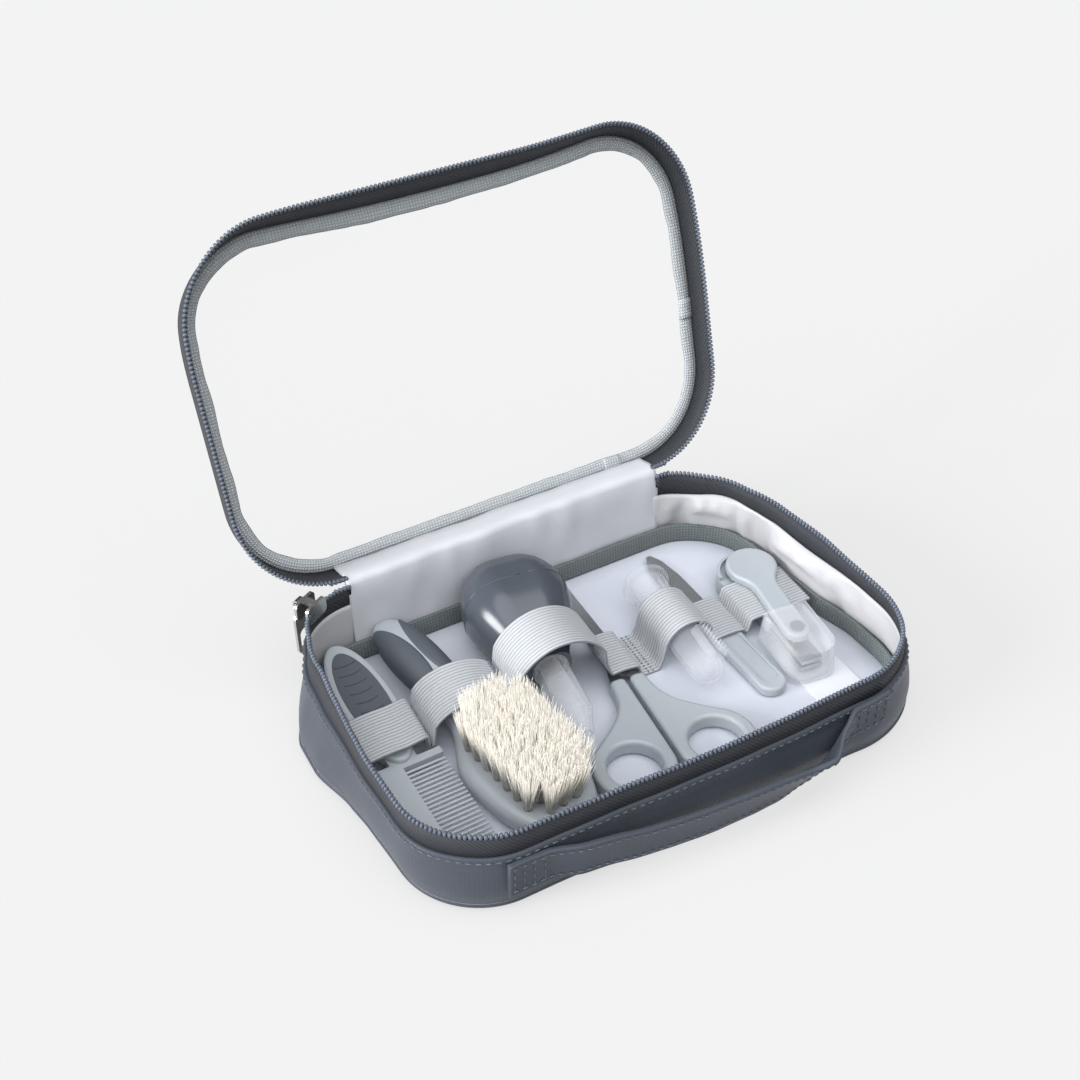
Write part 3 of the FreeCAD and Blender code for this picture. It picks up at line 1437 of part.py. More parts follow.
def room_under(strap, pieces):
    """How far a tool reaches to the left, to the right and up under the strap, in the strap's frame."""
    wide = mm.elastic_width + 2 * mm.elastic_gap
    long = float(floor_length) + 2 * mm.overrun
    slab = Part.makeBox(long, wide, float(rim_height), Vector(-long / 2, -wide / 2, 0))
    slab.Placement = strap
    room = FreeCAD.BoundBox()
    for piece in pieces:
        covered = doc.getObjectsByLabel(piece)[0].Shape.common(slab)
        if covered.Solids:
            room.add(covered.transformed(strap.inverse().Matrix, True).optimalBoundingBox(False, False))
    return room


def make_loops():
    """One strap of elastic, sewn down between the tools, so that each tool has its own loop."""
    doc.recompute()
    strap = strap_place()
    held = (
        # the loop, the pieces it holds, and where its shoulder comes
        ("comb", ("comb_body", "comb_grip"), FLAT_SHOULDER_SHARE),
        ("brush", ("brush_body", "brush_grips"), OVAL_SHOULDER_SHARE),
        ("aspirator", ("aspirator_bulb", "aspirator_nozzle"), ROUND_SHOULDER_SHARE),
        ("scissors", ("scissors_lower_blade", "scissors_upper_blade", "scissors_rivet",
                      "scissors_lower_handle", "scissors_upper_handle"), FLAT_SHOULDER_SHARE),
        ("finger_brush", ("finger_brush_sleeve",), ROUND_SHOULDER_SHARE),
        ("file", ("file_handle", "file_blade"), FLAT_SHOULDER_SHARE),
        ("clipper", ("clipper_body", "clipper_lever"), FLAT_SHOULDER_SHARE),
    )
    humps = []
    for name, pieces, shoulder in held:
        room = room_under(strap, pieces)
        slack = mm.elastic_gap + (1 - shoulder) * LOOP_SLACK_SHARE * room.XLength
        humps.append((name, room.XMin - slack, room.XMax + slack, room.ZMax + mm.elastic_gap, shoulder))
    drop = mm.elastic_fall / float(floor_half) * mm.elastic_width / 2
    end = float(floor_half) - drop - mm.fit_gap
    edges = [-end]
    for before, after in zip(humps, humps[1:]):
        edges.append((before[2] + after[1]) / 2)
    edges.append(end)
    for (name, left, right, top, shoulder), start, stop in zip(humps, edges, edges[1:]):
        feature_of(f"{name}_loop", loop_solid(left, right, top, shoulder, start, stop), strap)


def loop_solid(left, right, top, shoulder, start, stop):
    """A hump of elastic with a flat foot on each side, from start to stop along the strap."""
    low = float(floor_top)
    thick = mm.elastic
    middle = (left + right) / 2
    wide = (right - left) / 2
    bend = low + shoulder * (top - low)
    rise = CROWN_RISE_SHARE * (top - low) * min(1, (top - low) / wide)
    lean = min(max(0, min(left - start, stop - right) - 2 * thick), wide) / 2

    def spot(x, z):
        return Vector(x, 0, z)

    inner = [spot(left - lean, low), spot(left, bend), spot(right, bend), spot(right + lean, low)]
    outer = [spot(left - lean - thick, low + thick), spot(left - thick, bend + thick / 2),
             spot(right + thick, bend + thick / 2), spot(right + lean + thick, low + thick)]
    feet = [spot(start, low), spot(stop, low), spot(stop, low + thick), spot(start, low + thick)]
    crown = spot(middle, top + rise)
    wire = Part.Wire([
        line(feet[0], inner[0]), line(inner[0], inner[1]), Part.Arc(inner[1], crown, inner[2]).toShape(),
        line(inner[2], inner[3]), line(inner[3], feet[1]), line(feet[1], feet[2]), line(feet[2], outer[3]),
        line(outer[3], outer[2]), Part.Arc(outer[2], crown + UP * thick, outer[1]).toShape(),
        line(outer[1], outer[0]), line(outer[0], feet[3]), line(feet[3], feet[0])])
    solid = Part.Face(wire).extrude(ALONG * mm.elastic_width)
    solid.translate(-ALONG * mm.elastic_width / 2)
    return solid


MAKERS = (
    make_outer_shell, make_floor_board, make_floor_binding, make_wall_lining, make_base_zip,
    make_hinge_strip, make_handle_strap, make_insert_card, make_lid, make_zip_slider, make_zip_pull_tab,
    make_comb, make_brush, make_aspirator, make_scissors, make_finger_brush, make_file, make_clipper,
    make_loops,
)
for make in MAKERS:
    make()
doc.recompute()

# Every piece that is not a part of another piece is one named sub-part
os.makedirs("parts", exist_ok=True)
KINDS = ("PartDesign::Body", "Part::Feature", "Part::Fuse", "Part::Box")
INNER = ("hinge_leaf", "hinge_fold")
for item in doc.Objects:
    if "Invalid" in item.State or "Error" in item.State:
        raise RuntimeError(f"{item.Label}: {item.State}")
for item in doc.Objects:
    if item.TypeId in KINDS and item.Label not in INNER:
        shape = item.Shape
        if shape.isNull() or not shape.isValid() or not shape.Solids:
            raise RuntimeError(f"{item.Label}: no valid solid")
        shape.exportStep(f"parts/{item.Label}.step")
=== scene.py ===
"""Baby grooming kit: a soft zip case, open, with seven tools under a strap of ribbed elastic."""
import math

import bmesh
import bpy
from mathutils import Matrix, Vector, noise
from mathutils.bvhtree import BVHTree


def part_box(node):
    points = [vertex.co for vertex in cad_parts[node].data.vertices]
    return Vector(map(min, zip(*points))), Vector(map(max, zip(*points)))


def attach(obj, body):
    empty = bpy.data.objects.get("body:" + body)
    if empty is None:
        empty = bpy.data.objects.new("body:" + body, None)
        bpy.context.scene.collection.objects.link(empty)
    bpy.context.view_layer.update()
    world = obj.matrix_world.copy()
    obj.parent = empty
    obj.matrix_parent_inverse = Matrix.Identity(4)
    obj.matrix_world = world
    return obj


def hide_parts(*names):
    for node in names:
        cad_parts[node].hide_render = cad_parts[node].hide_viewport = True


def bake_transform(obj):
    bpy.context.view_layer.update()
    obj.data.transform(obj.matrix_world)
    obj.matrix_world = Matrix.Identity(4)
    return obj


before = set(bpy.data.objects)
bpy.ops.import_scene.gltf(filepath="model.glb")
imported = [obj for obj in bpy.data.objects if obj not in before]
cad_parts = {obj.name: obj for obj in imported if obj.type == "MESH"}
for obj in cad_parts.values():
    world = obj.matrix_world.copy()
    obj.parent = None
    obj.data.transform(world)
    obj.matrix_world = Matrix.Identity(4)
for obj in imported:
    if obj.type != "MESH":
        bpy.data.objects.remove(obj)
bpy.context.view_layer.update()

bl_info = {
    "name": "Baby grooming kit",
    "version": (1, 0, 0),
    "blender": (4, 5, 0),
    "location": "3D View > Sidebar > Grooming kit",
    "description": "Dresses the case and its tools in cloth, plastic, rubber and metal",
    "category": "Object",
}

MM = 0.001


def corner_of(node, end):
    """The lowest (0) or highest (1) corner of a node's box."""
    return Vector(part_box(node)[end])


# Levels and half sizes of the case, read from the frame
HALF_X = corner_of("outer_shell", 1).x
HALF_Y = corner_of("outer_shell", 1).y
WALL_TOP = corner_of("outer_shell", 1).z
FLOOR_TOP = corner_of("floor_board", 1).z
RIM = (corner_of("base_zip_teeth", 0).z + corner_of("base_zip_teeth", 1).z) / 2
BINDING_HALF = corner_of("floor_binding", 1)
HINGE_HALF = corner_of("hinge_strip", 1).x
FABRIC = 1.2 * MM
RIM_HALF_X = HALF_X - FABRIC / 2
RIM_HALF_Y = HALF_Y - FABRIC / 2


def linear(code):
    """An sRGB hex colour as linear RGBA."""
    parts = [int(code[i:i + 2], 16) / 255 for i in (1, 3, 5)]
    return tuple(p / 12.92 if p <= 0.04045 else ((p + 0.055) / 1.055) ** 2.4 for p in parts) + (1.0,)


def length(name, millimetres, description):
    return bpy.props.FloatProperty(name=name, description=description, default=millimetres * MM,
                                   precision=5, unit="LENGTH")


def count(name, number, description):
    return bpy.props.IntProperty(name=name, description=description, default=number, min=1)


def angle(name, degrees, description):
    return bpy.props.FloatProperty(name=name, description=description, default=math.radians(degrees),
                                   subtype="ANGLE")


def share(name, part, description):
    return bpy.props.FloatProperty(name=name, description=description, default=part, min=0, max=2)


def colour(name, code, description):
    return bpy.props.FloatVectorProperty(name=name, description=description, default=linear(code), size=4,
                                         min=0, max=1, subtype="COLOR")


class KitSizes(bpy.types.PropertyGroup):
    """Sizes of the sewn and moulded details."""
    rim_corner: length("Rim corner", 36, "Radius of the case's corners at the zip")
    draw_in: share("Rim draw-in", 1.0, "How much the soft rim leans in")
    piping: length("Piping", 1.1, "Radius of the piping round the bottom edge")
    coil_pitch: length("Coil pitch", 1.65, "Spacing of the zip's teeth")
    stitch: length("Stitch", 2.3, "Length of one stitch")
    stitch_pitch: length("Stitch pitch", 3.3, "Spacing of the stitches")
    thread: length("Thread", 0.2, "Radius of the sewing thread")
    rib_count: count("Ribs", 15, "Ribs across the elastic")
    rib: length("Rib height", 0.32, "Height of one rib")
    elastic_width: length("Elastic width", 22, "Width of the elastic strap")
    elastic_middle: length("Elastic middle", 13, "Distance of the strap's middle behind the case's middle")
    elastic_slant: angle("Elastic slant", -2.98, "Turn of the elastic across the case")
    strap_width: length("Handle width", 15, "Width of the carrying strap")
    filaments: count("Filaments", 190, "Bristles in one tuft")
    filament: length("Filament", 0.16, "Radius of one bristle")
    splay: bpy.props.FloatProperty(name="Splay", default=2.5,
                                   description="Outward lean of a tuft for each metre from the middle")
    film_bow: length("Window bow", 1.0, "How far the middle of the clear film stands out")


class KitColours(bpy.types.PropertyGroup):
    """Colours of the cloth, plastic and metal."""
    nylon: colour("Coated nylon", "#434851", "Outside of the case")
    satin: colour("Satin lining", "#c8cdd8", "Lining of floor and walls")
    # Drawn darker than the satin of the floor: painted shade on the walls.
    wall_satin_shaded: colour("Wall satin", "#bababd", "Loose satin of the walls")
    hinge_lining: colour("Hinge lining", "#c8cad0", "Lining of the rear wall and hinge")
    binding: colour("Floor binding", "#6f7878", "Woven tape round the floor")
    lid_binding: colour("Window binding", "#c6ccd0", "Woven tape round the window")
    tape: colour("Zip tape", "#2b2e34", "Woven zip tape")
    coil: colour("Zip coil", "#59616f", "Polyester coil of the zip")
    elastic: colour("Elastic", "#b3b6bb", "Ribbed elastic strap")
    thread: colour("Thread", "#5b606a", "Sewing thread of the case")
    card: colour("Card", "#dde0e6", "Blank insert card")
    plastic: colour("Grey plastic", "#a6adb3", "Moulded tool bodies")
    grip: colour("Soft grip", "#4f555d", "Soft grips of comb and brush")
    bristle: colour("Bristle", "#ece8df", "Bristles of the hair brush")
    rubber: colour("Bulb rubber", "#474d55", "Squeeze bulb")
    clear: colour("Clear plastic", "#eef1f6", "Nozzle and clipper guard")
    silicone: colour("Silicone", "#eceff6", "Finger brush")
    steel: colour("Steel", "#b4b6b8", "Blades and nail file")
    nickel: colour("Nickel", "#d2d0ca", "Zip slider and pull tab")
    floor: colour("Backdrop", "#f2f2f2", "Floor and backdrop")


def sizes():
    return bpy.context.scene.kit_sizes


def tint(name):
    return getattr(bpy.context.scene.kit_colours, name)


# Node trees

def add_node(tree, kind, values=None, links=None, **settings):
    """One node with its settings, socket values and links; a link comes from a socket or a node's first output."""
    node = tree.nodes.new(kind)
    for name, value in settings.items():
        setattr(node, name, value)
    for socket, value in (values or {}).items():
        node.inputs[socket].default_value = value
    for socket, source in (links or {}).items():
        source = source if isinstance(source, bpy.types.NodeSocket) else source.outputs[0]
        tree.links.new(source, node.inputs[socket])
    return node


def shade(rgba, factor):
    return tuple(min(1.0, channel * factor) for channel in rgba[:3]) + (1.0,)


WAVE_PERIOD = math.pi / 10  # length of one band of Blender's wave texture at scale 1


class Look:
    """A principled material in the making: its tree, its shader and its coordinates."""

    def __init__(self, name, base, roughness, **sockets):
        self.base = tuple(base)
        self.material = bpy.data.materials.new(name)
        self.material.use_nodes = True
        self.tree = self.material.node_tree
        self.shader = self.tree.nodes["Principled BSDF"]
        self.shader.inputs["Base Color"].default_value = self.base
        self.shader.inputs["Roughness"].default_value = roughness
        for socket, value in sockets.items():
            self.shader.inputs[socket.replace("_", " ")].default_value = value
        where = self.node("TexCoord").outputs
        self.solid, self.cloth = where["Object"], where["UV"]

    def node(self, kind, values=None, links=None, **settings):
        return add_node(self.tree, "ShaderNode" + kind, values, links, **settings)

    def mapped(self, where, **change):
        """A coordinate that is turned or stretched."""
        return self.node("Mapping", change, {"Vector": where})

    def bands(self, where, direction, period):
        """Soft bands of a real period along one axis of a coordinate in metres."""
        return self.node("TexWave", {"Scale": WAVE_PERIOD / period}, {"Vector": where}, wave_type="BANDS",
                         bands_direction=direction).outputs["Fac"]

    def weave(self, where, period):
        """Threads that cross: bands along the cloth times bands across it."""
        along, across = (self.bands(where, axis, period) for axis in "XY")
        return self.node("Math", links={0: along, 1: across}, operation="MULTIPLY")

    def cloud(self, grain, detail=3.0, where=None):
        """Soft noise whose patches are about one grain across."""
        return self.node("TexNoise", {"Scale": 1 / grain, "Detail": detail},
                         {"Vector": self.solid if where is None else where}).outputs["Fac"]

    def pattern(self, given):
        """A pattern as it is, or the cloud that a grain in metres stands for."""
        return self.cloud(given) if isinstance(given, float) else given

    def mottle(self, given, dark, light):
        """Blends a darker and a lighter shade of the base colour by a pattern."""
        mix = self.node("Mix", {6: shade(self.base, dark), 7: shade(self.base, light)}, {0: self.pattern(given)},
                        data_type="RGBA")
        self.tree.links.new(mix.outputs[2], self.shader.inputs["Base Color"])
        return self

    def emboss(self, given, depth, strength):
        """Raises a pattern to a depth."""
        bump = self.node("Bump", {"Strength": strength, "Distance": depth}, {"Height": self.pattern(given)})
        self.tree.links.new(bump.outputs["Normal"], self.shader.inputs["Normal"])
        return self

    def see_through(self, least, most):
        """Clear face on and cloudier at the edges, where one looks along the wall; the pale edges are partly haze
        in the wall and partly a painted reflection.
        """
        facing = self.node("LayerWeight", {"Blend": 0.5}).outputs["Facing"]
        edge = self.node("Math", {1: 2.0}, {0: facing}, operation="POWER")
        haze_and_edge_reflection = self.node("MapRange", {"To Min": least, "To Max": most}, {"Value": edge}).outputs[0]
        self.tree.links.new(haze_and_edge_reflection, self.shader.inputs["Alpha"])
        return self


MATERIALS = {}


def finish(name):
    """A material by name, made the first time it is asked for."""
    if name not in MATERIALS:
        MATERIALS[name] = FINISHES[name]().material
    return MATERIALS[name]


def coated_nylon():
    """Nylon cloth with a coat of polyurethane: a slight gloss over a fine plain weave, with soft creases."""
    look = Look("coated_nylon", tint("nylon"), 0.42, Specular_IOR_Level=0.25, Sheen_Weight=0.1,
                Sheen_Roughness=0.45, Sheen_Tint=linear("#c3cde0"))
    look.mottle(22 * MM, 0.82, 1.16)
    # The threads are drawn coarser than real ones so that they show
    return look.emboss(look.weave(look.cloth, 0.9 * MM), 0.1 * MM, 0.55)


def satin(name, base, gloss):
    """Polyester satin: smooth, a soft sheen, and a fine twill line."""
    look = Look(name, base, gloss, Sheen_Weight=0.15, Sheen_Roughness=0.4).mottle(14 * MM, 0.93, 1.02)
    return look.emboss(look.weave(look.cloth, 0.8 * MM), 0.06 * MM, 0.5)


def woven_tape(name, base, period):
    """Woven polypropylene tape: matt, with threads that stand up and shade each other."""
    look = Look(name, base, 0.72, Sheen_Weight=0.1)
    threads = look.weave(look.cloth, period)
    # The colour is darker where the threads dip under each other: painted shade.
    return look.mottle(threads, 0.62, 1.2).emboss(threads, 0.3 * MM, 0.9)


def zip_tape():
    """Woven polyester zip tape: matt and dark, with a herringbone of slanting bands."""
    look = Look("zip_tape", tint("tape"), 0.66)
    threads = look.bands(look.mapped(look.cloth, Rotation=(0, 0, math.radians(45))), "X", 1.3 * MM)
    return look.mottle(threads, 0.65, 1.25).emboss(threads, 0.2 * MM, 0.8)


def zip_coil():
    """Polyester monofilament: smooth and slightly glossy."""
    return Look("zip_coil", tint("coil"), 0.36).mottle(6 * MM, 0.75, 1.15)


def ribbed_elastic():
    """Knitted elastic: matt pale ribs with painted shade in the grooves between them, and fine cross threads."""
    look = Look("ribbed_elastic", tint("elastic"), 0.7, Sheen_Weight=0.12)
    ribs = look.bands(look.cloth, "Y", sizes().elastic_width / sizes().rib_count)
    # The colour is darker in the grooves between the ribs: painted shade.
    crowns = look.node("Math", {1: 0.45}, {0: ribs}, operation="POWER")
    threads = look.bands(look.cloth, "X", 0.9 * MM)
    knit_and_groove_shade = look.node("Math", {1: 0.22}, {0: threads, 2: crowns}, operation="MULTIPLY_ADD")
    return look.mottle(knit_and_groove_shade, 0.5, 1.05).emboss(knit_and_groove_shade, 0.25 * MM, 0.8)


def sewing_thread():
    """Twisted polyester thread: a slight gloss."""
    look = Look("sewing_thread", tint("thread"), 0.5)
    return look.mottle(look.bands(look.solid, "DIAGONAL", 0.6 * MM), 0.8, 1.2)


def insert_card():
    """White coated card: smooth, with a soft fibre mottle."""
    look = Look("white_card", tint("card"), 0.4)
    fibre = look.cloud(2 * MM, 6.0)
    return look.mottle(fibre, 0.96, 1.0).emboss(fibre, 0.03 * MM, 0.3)


def clear_film():
    """Clear vinyl film: nothing but a faint reflection and a slight haze."""
    return Look("clear_vinyl", (1, 1, 1, 1), 0.06, IOR=1.5, Alpha=0.025).emboss(30 * MM, 0.2 * MM, 0.2)


def moulded_plastic():
    """Injection moulded ABS: even grey, satin, with a very fine grain."""
    look = Look("moulded_abs", tint("plastic"), 0.36, IOR=1.54)
    return look.mottle(18 * MM, 0.96, 1.03).emboss(0.5 * MM, 0.02 * MM, 0.35)


def soft_grip():
    """Overmoulded thermoplastic rubber: dark and matt, with a fine grain."""
    look = Look("soft_grip_rubber", tint("grip"), 0.55, IOR=1.5)
    grain = look.cloud(0.7 * MM)
    return look.mottle(grain, 0.9, 1.1).emboss(grain, 0.04 * MM, 0.5)


def bristle():
    """Natural bristle: cream and slightly translucent, with strands of uneven shade."""
    look = Look("cream_bristle", tint("bristle"), 0.5, Subsurface_Weight=0.15,
                Subsurface_Radius=(0.6 * MM, 0.5 * MM, 0.4 * MM))
    return look.mottle(1.2 * MM, 0.93, 1.04)


def bulb_rubber():
    """Moulded vinyl bulb: smooth, glossy and dark grey, with a little bloom."""
    look = Look("moulded_vinyl", tint("rubber"), 0.22, IOR=1.52)
    return look.mottle(9 * MM, 0.94, 1.05).emboss(1.5 * MM, 0.02 * MM, 0.25)


def clear_plastic():
    """Clear polystyrene: see-through, glossy, with a faint cloud in the moulding."""
    look = Look("clear_polystyrene", tint("clear"), 0.08, IOR=1.59)
    return look.see_through(0.12, 0.8).mottle(8 * MM, 0.94, 1.04)


def silicone():
    """Clear silicone rubber: milky, soft gloss."""
    look = Look("clear_silicone", tint("silicone"), 0.2, IOR=1.41)
    return look.see_through(0.1, 0.5).mottle(8 * MM, 0.94, 1.04)


def brushed_steel():
    """Ground stainless steel: bright, with fine lines along the blade."""
    look = Look("ground_steel", tint("steel"), 0.3, Metallic=1.0)
    lines = look.cloud(0.5 * MM, where=look.mapped(look.solid, Scale=(1, 0.04, 1)))
    return look.mottle(lines, 0.85, 1.1).emboss(lines, 0.02 * MM, 0.4)


def file_steel():
    """Etched nail file steel: a cross grid of fine teeth that dulls the shine."""
    look = Look("etched_steel", tint("steel"), 0.4, Metallic=1.0)
    teeth = look.weave(look.mapped(look.solid, Rotation=(0, 0, math.radians(45))), 0.9 * MM)
    return look.mottle(teeth, 0.7, 1.1).emboss(teeth, 0.12 * MM, 0.9)


def nickel():
    """Nickel plated zinc casting: bright, with small casting ripples."""
    look = Look("nickel_plated_zinc", tint("nickel"), 0.24, Metallic=1.0)
    ripple = look.cloud(1.5 * MM)
    return look.mottle(ripple, 0.85, 1.05).emboss(ripple, 0.05 * MM, 0.4)


FINISHES = {
    "coated_nylon": coated_nylon,
    "satin_lining": lambda: satin("satin_lining", tint("satin"), 0.45),
    # The walls' satin is the floor's satin in a darker colour: painted shade.
    "wall_satin_shaded": lambda: satin("loose_satin", tint("wall_satin_shaded"), 0.45),
    "hinge_lining": lambda: satin("hinge_lining", tint("hinge_lining"), 0.35),
    "floor_binding": lambda: woven_tape("woven_floor_binding", tint("binding"), 1.3 * MM),
    "lid_binding": lambda: woven_tape("woven_window_binding", tint("lid_binding"), 1.2 * MM),
    "zip_tape": zip_tape,
    "zip_coil": zip_coil,
    "ribbed_elastic": ribbed_elastic,
    "sewing_thread": sewing_thread,
    "card": insert_card,
    "clear_film": clear_film,
    "plastic": moulded_plastic,
    "grip": soft_grip,
    "bristle": bristle,
    "rubber": bulb_rubber,
    "clear_plastic": clear_plastic,
    "silicone": silicone,
    "steel": brushed_steel,
    "file_steel": file_steel,
    "nickel": nickel,
}


# Meshes

def link_mesh(name, mesh):
    piece = bpy.data.objects.new(name, mesh)
    bpy.context.scene.collection.objects.link(piece)
    return piece


def running_length(points, closed):
    """How far along a row of points each one lies, with the way back to the first if it is closed."""
    steps = [0.0]
    ring = points + points[:1] if closed else points
    for before, after in zip(ring, ring[1:]):
        steps.append(steps[-1] + (after - before).length)
    return steps


def skin(name, rows, close_rows=False, close_columns=True, caps=False, across=None):
    """A surface through rows of points, with a UV map in metres along and across the rows."""
    deep = len(rows)
    wide = len(rows[0])
    along = running_length([row[0] for row in rows], close_rows)
    across = across or running_length(rows[0], close_columns)
    faces = []
    corners = []
    for i in range(deep if close_rows else deep - 1):
        for j in range(wide if close_columns else wide - 1):
            after = (i + 1) % deep
            beside = (j + 1) % wide
            faces.append((i * wide + j, after * wide + j, after * wide + beside, i * wide + beside))
            corners.extend(((along[i], across[j]), (along[i + 1], across[j]),
                            (along[i + 1], across[j + 1]), (along[i], across[j + 1])))
    if caps:
        for row in (0, deep - 1) if close_columns else ():
            faces.append(tuple(row * wide + j for j in range(wide)))
            corners.extend((point.x, point.y) for point in rows[row])
        if close_rows:
            for column in (0, wide - 1):
                faces.append(tuple(i * wide + column for i in range(deep)))
                corners.extend((row[column].x, row[column].y) for row in rows)
    mesh = bpy.data.meshes.new(name)
    mesh.from_pydata([point for row in rows for point in row], [], faces)
    cloth = mesh.uv_layers.new(name="cloth")
    for loop, corner in zip(cloth.data, corners):
        loop.uv = corner
    shell = bmesh.new()
    shell.from_mesh(mesh)
    bmesh.ops.recalc_face_normals(shell, faces=shell.faces)
    shell.to_mesh(mesh)
    shell.free()
    mesh.shade_smooth()
    return link_mesh(name, mesh)


def dress(piece, body, slot, look, *nodes):
    """Gives a made piece its look, the body it rides on and the nodes it stands for; the slot is not used."""
    if look:
        piece.data.materials.clear()
        piece.data.materials.append(finish(look))
    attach(piece, body)
    if nodes:
        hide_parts(*nodes)
    return piece


def paint(look, *nodes):
    """Gives carried-over nodes their look."""
    for name in nodes:
        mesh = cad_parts[name].data
        mesh.materials.clear()
        mesh.materials.append(finish(look))


def ease(low, high, value):
    """0 below low, 1 above high, and a smooth rise between."""
    part = min(1.0, max(0.0, (value - low) / (high - low)))
    return part * part * (3 - 2 * part)


def around(half_x, half_y, corner, half_gap=0.0, step=2.5 * MM):
    """Points and outward directions round a case outline, from the rear right, clockwise seen from above."""
    inner_x = half_x - corner
    inner_y = half_y - corner
    turns = ((inner_x, inner_y, 90), (inner_x, -inner_y, 0), (-inner_x, -inner_y, -90), (-inner_x, inner_y, -180))
    stops = [Vector((half_gap, half_y, 0))]
    outs = [Vector((0, 1, 0))]

    def run_to(end):
        start = stops[-1]
        parts = max(1, round((end - start).length / step))
        for k in range(1, parts + 1):
            stops.append(start.lerp(end, k / parts))
            outs.append(outs[-1].copy())

    for x, y, start in turns:
        heading = math.radians(start)
        run_to(Vector((x, y, 0)) + corner * Vector((math.cos(heading), math.sin(heading), 0)))
        parts = max(3, round(corner * math.pi / 2 / step))
        for k in range(1, parts + 1):
            heading = math.radians(start - 90 * k / parts)
            out = Vector((math.cos(heading), math.sin(heading), 0))
            stops.append(Vector((x, y, 0)) + corner * out)
            outs.append(out)
    run_to(Vector((-half_gap, half_y, 0)))
    if not half_gap:
        stops.pop()
        outs.pop()
    return list(zip(stops, outs))


WALL_SHAPE = (
    # degrees round the case from the right, how far the rim leans in there, and how far the foot stands out, in mm
    (0, 1.3, 1.5), (20, 3.9, 0.5), (32, 7.6, 0), (46, 7.0, 0), (55, 2.6, 0), (90, 2.4, 0), (129, 2.2, 0),
    (134, 2.6, 0), (142, 7.0, 0), (148, 8.2, 3.0), (154, 8.6, 6.0), (165, 7.1, 6.0), (180, 5.2, 0.8),
    (191, 4.4, -1.2), (207, 4.5, -2.6), (228, 4.6, -2.8), (241, 3.7, -2.6), (252, 2.8, -1.8), (268, 1.5, -0.6),
    (288, 1.0, 0.2), (302, 1.8, 1.4), (325, 2.0, 7.2), (342, 1.1, 6.6), (360, 1.3, 1.5))


def along_table(table, value):
    """The other columns of a table at a value of its first column, eased between its rows."""
    for before, after in zip(table, table[1:]):
        if value <= after[0]:
            straight = max(0.0, (value - before[0]) / (after[0] - before[0]))
            part = ease(before[0], after[0], value) * 0.4 + 0.6 * straight
            return [low + (high - low) * part for low, high in zip(before[1:], after[1:])]
    return table[-1][1:]


FOOT_SHARE = 0.2  # of the rim's lean, at the foot of the wall
RIPPLE = 0.7 * MM
RIPPLES = 40  # for each metre of wall


def settle(point):
    """Where a point of the soft case really lies: its rim leans in, most of all at the ends."""
    kit = sizes()
    core_x = HALF_X - kit.rim_corner
    core_y = HALF_Y - kit.rim_corner
    out = Vector((point.x - min(core_x, max(-core_x, point.x)), point.y - min(core_y, max(-core_y, point.y)), 0))
    out.normalize()
    rise = min(1.1, max(0.0, point.z / RIM))
    heading = math.degrees(math.atan2(point.y / HALF_Y, point.x / HALF_X)) % 360
    lean, foot = along_table(WALL_SHAPE, heading)
    lean *= FOOT_SHARE + (1 - FOOT_SHARE) * rise
    inward = kit.draw_in * (lean - foot * max(0.0, 1 - rise)) * MM
    ripple = noise.noise(point * RIPPLES) * RIPPLE * min(1.0, rise * 1.5)
    return point + out * (ripple - inward)


def ring(name, path, profile, closed=True, caps=False, close_profile=True):
    """Sweeps a profile of (out, up) round a path of the settled case."""
    rows = [[settle(spot + out * reach + Vector((0, 0, up))) for reach, up in profile] for spot, out in path]
    return skin(name, rows, close_rows=closed, close_columns=close_profile, caps=caps)


def mms(*pairs):
    return [(a * MM, b * MM) for a, b in pairs]


def tube_profile(radius, out, up, sides=8):
    return [(out + radius * math.cos(2 * math.pi * k / sides), up + radius * math.sin(2 * math.pi * k / sides))
            for k in range(sides)]


LID_OPEN = math.radians(-110.5)
HINGE_DROP = 1.7 * MM  # from the top of the hinge strip to the line that it folds on
LID_SLUMP = 7.0 * MM
LID_SLACK = 2.0  # mm that the far left corner falls in
LID_LEAN = 2.2  # mm that the lid leans to the right


def lid_swing():
    """Takes the closed lid to where it stands open."""
    hinge = Vector((0, RIM_HALF_Y, corner_of("hinge_strip", 1).z - HINGE_DROP))
    return Matrix.Translation(hinge) @ Matrix.Rotation(LID_OPEN, 4, "X") @ Matrix.Translation(-hinge), hinge


def lid_slump(spot):
    """How far the window's edge hangs below the zip: most in the middle of the far side."""
    return LID_SLUMP * ease(0.35, 1.0, -spot.y / HALF_Y) * (1 - 0.75 * (spot.x / HALF_X) ** 2)


def lid_line(inset, half_gap=0.0, step=2.5 * MM):
    """Points and outward directions round the lid at its zip: it leans to the right, its far left corner slack."""
    spots = []
    for spot, out in around(RIM_HALF_X - inset, RIM_HALF_Y - inset, sizes().rim_corner - inset, half_gap, step):
        left = -spot.x / HALF_X
        far = -spot.y / HALF_Y
        lean = ease(0.2, 1, far) - ease(0.3, 0.9, -left)
        pull = LID_SLACK * ease(0.5, 1, left) * ease(0.3, 1, far) + LID_LEAN * lean * ease(-0.8, 0.2, far)
        spots.append((spot - out * pull * MM, out))
    return spots


def lid_edge(inset, step):
    """Points and outward directions round the window, drawn in from the zip line."""
    return [(spot - out * lid_slump(spot), out) for spot, out in lid_line(inset, step=step)]


# Geometry Nodes trees

def new_tree(name, inputs):
    """A Geometry Nodes tree with named inputs, and its input and output nodes."""
    tree = bpy.data.node_groups.new(name, "GeometryNodeTree")
    tree.interface.new_socket("Geometry", in_out="INPUT", socket_type="NodeSocketGeometry")
    for label, kind in inputs:
        tree.interface.new_socket(label, in_out="INPUT", socket_type=kind)
    tree.interface.new_socket("Geometry", in_out="OUTPUT", socket_type="NodeSocketGeometry")
    return tree, add_node(tree, "NodeGroupInput").outputs, add_node(tree, "NodeGroupOutput")


